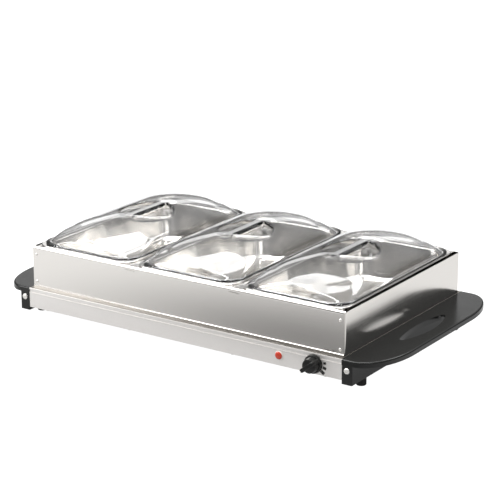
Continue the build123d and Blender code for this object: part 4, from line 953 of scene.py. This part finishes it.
def dial_tree():
    """A node group that lays marks along an arc, each larger than the one before."""
    tree = bpy.data.node_groups.new("dial_marks_on_arc", "GeometryNodeTree")
    face = tree.interface
    face.new_socket("Geometry", in_out="INPUT", socket_type="NodeSocketGeometry")
    for name, kind in (("Count", "Int"), ("Start", "Float"), ("Step", "Float"), ("Radius", "Float"),
                       ("Smallest", "Float"), ("Growth", "Float"), ("Thickness", "Float"),
                       ("Centre", "Vector"), ("Finish", "Material")):
        face.new_socket(name, in_out="INPUT", socket_type="NodeSocket" + kind)
    face.new_socket("Geometry", in_out="OUTPUT", socket_type="NodeSocketGeometry")
    given = add_node(tree, "NodeGroupInput").outputs
    product = {"operation": "MULTIPLY"}
    index = add_node(tree, "GeometryNodeInputIndex").outputs["Index"]
    turned_by = add_node(tree, "ShaderNodeMath", product, {0: index, 1: given["Step"]})
    angle = add_node(tree, "ShaderNodeMath", {"operation": "SUBTRACT"},
                     {0: given["Start"], 1: turned_by.outputs["Value"]}).outputs["Value"]
    cosine = add_node(tree, "ShaderNodeMath", {"operation": "COSINE"}, {0: angle})
    sine = add_node(tree, "ShaderNodeMath", {"operation": "SINE"}, {0: angle})
    across = add_node(tree, "ShaderNodeMath", product, {0: cosine.outputs["Value"], 1: given["Radius"]})
    up = add_node(tree, "ShaderNodeMath", product, {0: sine.outputs["Value"], 1: given["Radius"]})
    offset = add_node(tree, "ShaderNodeCombineXYZ", inputs={
        "X": across.outputs["Value"], "Z": up.outputs["Value"]})
    place = add_node(tree, "ShaderNodeVectorMath", {"operation": "ADD"},
                     {0: offset.outputs["Vector"], 1: given["Centre"]})
    points = add_node(tree, "GeometryNodePoints", inputs={
        "Count": given["Count"], "Position": place.outputs["Vector"]})
    growth = add_node(tree, "ShaderNodeMath", {"operation": "POWER"}, {0: given["Growth"], 1: index})
    size = add_node(tree, "ShaderNodeMath", product,
                    {0: given["Smallest"], 1: growth.outputs["Value"]}).outputs["Value"]
    length = add_node(tree, "ShaderNodeMath", product, {0: size, 1: MARK_PROPORTION})
    scale = add_node(tree, "ShaderNodeCombineXYZ", inputs={
        "X": length.outputs["Value"], "Y": given["Thickness"], "Z": size})
    backwards = add_node(tree, "ShaderNodeMath", product, {0: angle, 1: -1.0})
    turn = add_node(tree, "ShaderNodeCombineXYZ", inputs={"Y": backwards.outputs["Value"]})
    bar = add_node(tree, "GeometryNodeMeshCube")
    bars = add_node(tree, "GeometryNodeInstanceOnPoints", inputs={
        "Points": points.outputs["Points"], "Instance": bar.outputs["Mesh"],
        "Rotation": turn.outputs["Vector"], "Scale": scale.outputs["Vector"]})
    real = add_node(tree, "GeometryNodeRealizeInstances", inputs={"Geometry": bars.outputs["Instances"]})
    done = add_node(tree, "GeometryNodeSetMaterial", inputs={
        "Geometry": real.outputs["Geometry"], "Material": given["Finish"]})
    add_node(tree, "NodeGroupOutput", inputs={"Geometry": done.outputs["Geometry"]})
    return tree


DIAL = dial_tree()
print("the dial tree has", len(DIAL.nodes), "nodes")

# %% Dial marks
RAIL_FACE_STEP = 0.5 * MM
INK_THICKNESS = 0.12 * MM
INK_SINK = 0.02 * MM
knob_low, knob_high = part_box("knob")
knob_centre = Vector(((knob_low.x + knob_high.x) / 2, knob_low.y, (knob_low.z + knob_high.z) / 2))
rail_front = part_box("front_rail")[0].y
ink_y = rail_front + RAIL_FACE_STEP - INK_THICKNESS / 2 + INK_SINK


def dial_marks(name, **values):
    """Marks printed on the rail round the knob, as a plain mesh that rides on the base."""
    marks = bpy.data.objects.new(name, bpy.data.meshes.new(name))
    bpy.context.scene.collection.objects.link(marks)
    modifier = marks.modifiers.new("dial", "NODES")
    modifier.node_group = DIAL
    centre = (knob_centre.x, ink_y, knob_centre.z)
    values.update(Centre=centre, Thickness=INK_THICKNESS, Finish=printed_black)
    set_inputs(modifier, DIAL, values)
    apply_modifiers(marks)
    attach(marks, "base")
    return marks


heat_marks = dial_marks("dial_heat_marks", Count=3, Start=math.radians(12.0), Step=math.radians(24.5),
                        Radius=17.4 * MM, Smallest=3.4 * MM, Growth=1.2)
off_mark = dial_marks("dial_off_mark", Count=1, Start=math.radians(205.0), Step=0.0,
                      Radius=20.5 * MM, Smallest=1.6 * MM, Growth=1.0)
print("dial marks:", len(heat_marks.data.polygons) + len(off_mark.data.polygons), "faces")

# %% [markdown]
# ## The knob
#
# The CAD knob already has the right skirt and grip bar, but its edges are as
# sharp as the cutter left them. A merged copy takes a small Bevel, which is what
# makes moulded plastic catch the light along its edges.

# %% Rounded knob
MERGE_DISTANCE = 0.01 * MM
FLAT_ANGLE = math.radians(1.0)
KNOB_EDGE_RADIUS = 0.7 * MM
KNOB_EDGE_ANGLE = math.radians(40)


def rounded_copy(node, name, radius, angle, body):
    """A merged copy of a CAD node with its edges rounded, which stands for it."""
    copy = bpy.data.objects.new(name, NODES[node].data.copy())
    bpy.context.scene.collection.objects.link(copy)
    mesh = bmesh.new()
    mesh.from_mesh(copy.data)
    bmesh.ops.remove_doubles(mesh, verts=mesh.verts, dist=MERGE_DISTANCE)
    bmesh.ops.dissolve_limit(mesh, angle_limit=FLAT_ANGLE, verts=mesh.verts, edges=mesh.edges)
    mesh.to_mesh(copy.data)
    mesh.free()
    round_edges(copy, radius, angle)
    apply_modifiers(copy)
    copy.data.shade_smooth()
    copy.data.set_sharp_from_angle(angle=MOULDED_SMOOTH_ANGLE)
    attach(copy, body)
    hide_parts(node)
    return copy


knob = rounded_copy("knob", "knob_moulding", KNOB_EDGE_RADIUS, KNOB_EDGE_ANGLE, "knob")
print("knob:", len(knob.data.polygons), "faces")

# %% [markdown]
# ## The knob's pointer
#
# The setting is read off a white dot at the tip of the grip bar. It is ink
# filled flush with the plastic, so it isn't a piece of its own: the knob's
# material turns white within 1.3 mm of one point. The point is in the knob's
# own coordinates, so the dot turns with the knob.

# %% Pointer dot
BAR_ANGLE = math.radians(218.0)
DOT_REACH = 12.6 * MM
DOT_RADIUS = 1.3 * MM
DOT_BLUR = 0.1
# A Mix node keeps sockets for every kind of value; these are the ones for colours.
MIX_A, MIX_B, MIX_RESULT = 6, 7, 2


def dotted(material, name, centre, radius):
    """A copy of a moulded material that is white within a radius of a point."""
    marked = material.copy()
    marked.name = name
    tree = marked.node_tree
    base = tree.nodes["Principled BSDF"].inputs["Base Color"]
    place = add_node(tree, "ShaderNodeTexCoord").outputs["Object"]
    apart = add_node(tree, "ShaderNodeVectorMath", {"operation": "DISTANCE"}, {0: place, 1: centre})
    ink = add_node(tree, "ShaderNodeMapRange", inputs={
        "Value": apart.outputs["Value"], "To Min": 1.0, "To Max": 0.0,
        "From Min": (1 - DOT_BLUR) * radius, "From Max": (1 + DOT_BLUR) * radius})
    colour = add_node(tree, "ShaderNodeMix", {"data_type": "RGBA"}, {
        "Factor": ink.outputs["Result"], MIX_A: tuple(base.default_value), MIX_B: linear("#F4F2EC")})
    tree.links.new(colour.outputs[MIX_RESULT], base)
    return marked


bar_direction = Vector((math.cos(BAR_ANGLE), 0.0, math.sin(BAR_ANGLE)))
dot_centre = knob_centre + DOT_REACH * bar_direction
knob.data.materials[0] = dotted(black_phenolic, "black_phenolic_with_white_dot", dot_centre, DOT_RADIUS)
print("pointer dot at", tuple(round(v, 4) for v in dot_centre))

# %% [markdown]
# ## Table and light
#
# The server stands on a backlit table, so the camera sees pure white with
# hardly a shadow. Metal shows only what it reflects, though, and a wall that
# mirrors a white table looks like paper. In a studio a grey card is laid on the
# table in front of such a wall. Here the table itself is dimmer there for every
# ray that doesn't come straight from the camera, in a soft oval: the front wall
# then falls from white at its left end to grey at its right end, and the
# right-hand corner keeps a bright edge. Right under the server and its handles
# the table is dim too, as it is when something stands on it.
#
# The card could be a real object that the camera can't see, but a material
# keeps its edges soft.

# %% Table
TABLE_SIZE = 24.0
CARD_CENTRE = (0.14, -0.30, 0.0)
CARD_HALF_LENGTH = 0.64
CARD_HALF_WIDTH = 0.30
CARD_LIGHT = 0.0
TABLE_LIGHT = 0.78
CAMERA_LIGHT = 1.05
SHADE_HALF_LENGTH = 0.40
SHADE_HALF_WIDTH = 0.25
SHADE_LIGHT = 0.45
SHADE_BLUR = 0.1


def add_table():
    """A wide backlit table, white to the camera, with a soft grey oval in its reflections."""
    material, tree, shader, place = new_material("backlit_opal_acrylic", "#6C6C6C", Roughness=0.9)
    centred = add_node(tree, "ShaderNodeMapping", {"vector_type": "TEXTURE"}, {
        "Vector": place, "Location": CARD_CENTRE, "Scale": (CARD_HALF_LENGTH, CARD_HALF_WIDTH, 1.0)})
    distance = add_node(tree, "ShaderNodeVectorMath", {"operation": "LENGTH"},
                        {0: centred.outputs["Vector"]})
    light = add_node(tree, "ShaderNodeMapRange", {"interpolation_type": "SMOOTHSTEP"}, {
        "Value": distance.outputs["Value"], "From Min": 0.0, "From Max": 1.0,
        "To Min": CARD_LIGHT, "To Max": TABLE_LIGHT})
    under = add_node(tree, "ShaderNodeMapping", {"vector_type": "TEXTURE"}, {
        "Vector": place, "Scale": (SHADE_HALF_LENGTH, SHADE_HALF_WIDTH, 1.0)})
    size = add_node(tree, "ShaderNodeVectorMath", {"operation": "ABSOLUTE"},
                    {0: under.outputs["Vector"]})
    sides = add_node(tree, "ShaderNodeSeparateXYZ", inputs={"Vector": size.outputs["Vector"]})
    farthest = add_node(tree, "ShaderNodeMath", {"operation": "MAXIMUM"},
                        {0: sides.outputs["X"], 1: sides.outputs["Y"]})
    shade = add_node(tree, "ShaderNodeMapRange", {"interpolation_type": "SMOOTHSTEP"}, {
        "Value": farthest.outputs["Value"], "From Min": 1 - SHADE_BLUR, "From Max": 1 + SHADE_BLUR,
        "To Min": SHADE_LIGHT, "To Max": light.outputs["Result"]})
    ray = add_node(tree, "ShaderNodeLightPath")
    glow = add_node(tree, "ShaderNodeMapRange", inputs={
        "Value": ray.outputs["Is Camera Ray"], "To Min": shade.outputs["Result"],
        "To Max": CAMERA_LIGHT})
    tree.links.new(glow.outputs["Result"], shader.inputs["Emission Strength"])
    shader.inputs["Emission Color"].default_value = (1, 1, 1, 1)
    shader.inputs["Specular IOR Level"].default_value = 0.1
    half = TABLE_SIZE / 2
    corners = [(-half, -half, 0), (half, -half, 0), (half, half, 0), (-half, half, 0)]
    table = new_piece("table", corners, [(0, 1, 2, 3)], material)
    return table


add_table()
print("table", TABLE_SIZE, "m wide")

# %% [markdown]
# ## Softboxes and sky
#
# Five softboxes do the rest: a long one overhead and to the left, which shines
# into the pans; a narrow, bright strip beside it, which the folds, the hems and
# the handles' edges catch as crisp lines; one at the front left for the walls;
# one high behind, which outlines the lids; and a low, weak one at the rear left,
# just where the pans' floors mirror it towards the camera.
# The sky is a grey gradient, brighter overhead than at the horizon, so that
# level surfaces such as the pans' rims stay mid grey.

# %% Softboxes


def add_softbox(name, place, target, width, height, power):
    """A rectangular area light."""
    data = bpy.data.lights.new(name, "AREA")
    data.shape = "RECTANGLE"
    data.size, data.size_y = width, height
    data.energy = power
    light = bpy.data.objects.new(name, data)
    light.matrix_world = aimed(Vector(place), Vector(target))
    bpy.context.scene.collection.objects.link(light)
    return light


# Each has a name, a place, the point it is aimed at, a width and a height in metres, and watts.
SOFTBOXES = [
    ("overhead_softbox", (-0.45, 0.05, 1.45), (-0.2, 0.0, 0.1), 2.0, 0.9, 22.0),
    ("edge_striplight", (-0.2, -0.25, 1.5), (-0.2, -0.1, 0.1), 2.6, 0.12, 16.0),
    ("front_left_softbox", (-1.4, -1.2, 0.9), (-0.1, 0.0, 0.1), 1.0, 0.9, 14.0),
    ("rear_softbox", (0.5, 1.3, 1.7), (0.0, 0.0, 0.1), 1.2, 0.5, 8.0),
    ("pan_softbox", (-1.35, 2.05, 0.84), (0.0, 0.0, 0.06), 1.8, 0.35, 2.0),
]
for softbox in SOFTBOXES:
    add_softbox(*softbox)
print("softboxes:", [softbox[0] for softbox in SOFTBOXES])

# %% Sky
SKY_HORIZON = 0.15
SKY_TOP = 0.9
# The sky's light rises between these heights, where 0 is the horizon and 1 straight up.
SKY_RISE_FROM, SKY_RISE_TO = 0.25, 0.75


def add_sky():
    """A grey sky, brighter overhead than at the horizon."""
    world = bpy.data.worlds.new("studio")
    world.use_nodes = True
    bpy.context.scene.world = world
    tree = world.node_tree
    direction = add_node(tree, "ShaderNodeTexCoord").outputs["Generated"]
    height = add_node(tree, "ShaderNodeSeparateXYZ", inputs={"Vector": direction}).outputs["Z"]
    ramp = add_node(tree, "ShaderNodeMapRange", {"interpolation_type": "SMOOTHSTEP"}, {
        "Value": height, "From Min": SKY_RISE_FROM, "From Max": SKY_RISE_TO,
        "To Min": SKY_HORIZON, "To Max": SKY_TOP})
    tree.links.new(ramp.outputs["Result"], tree.nodes["Background"].inputs["Strength"])
    tree.nodes["Background"].inputs["Color"].default_value = (1, 1, 1, 1)
    return world


add_sky()
print("sky from", SKY_HORIZON, "to", SKY_TOP)
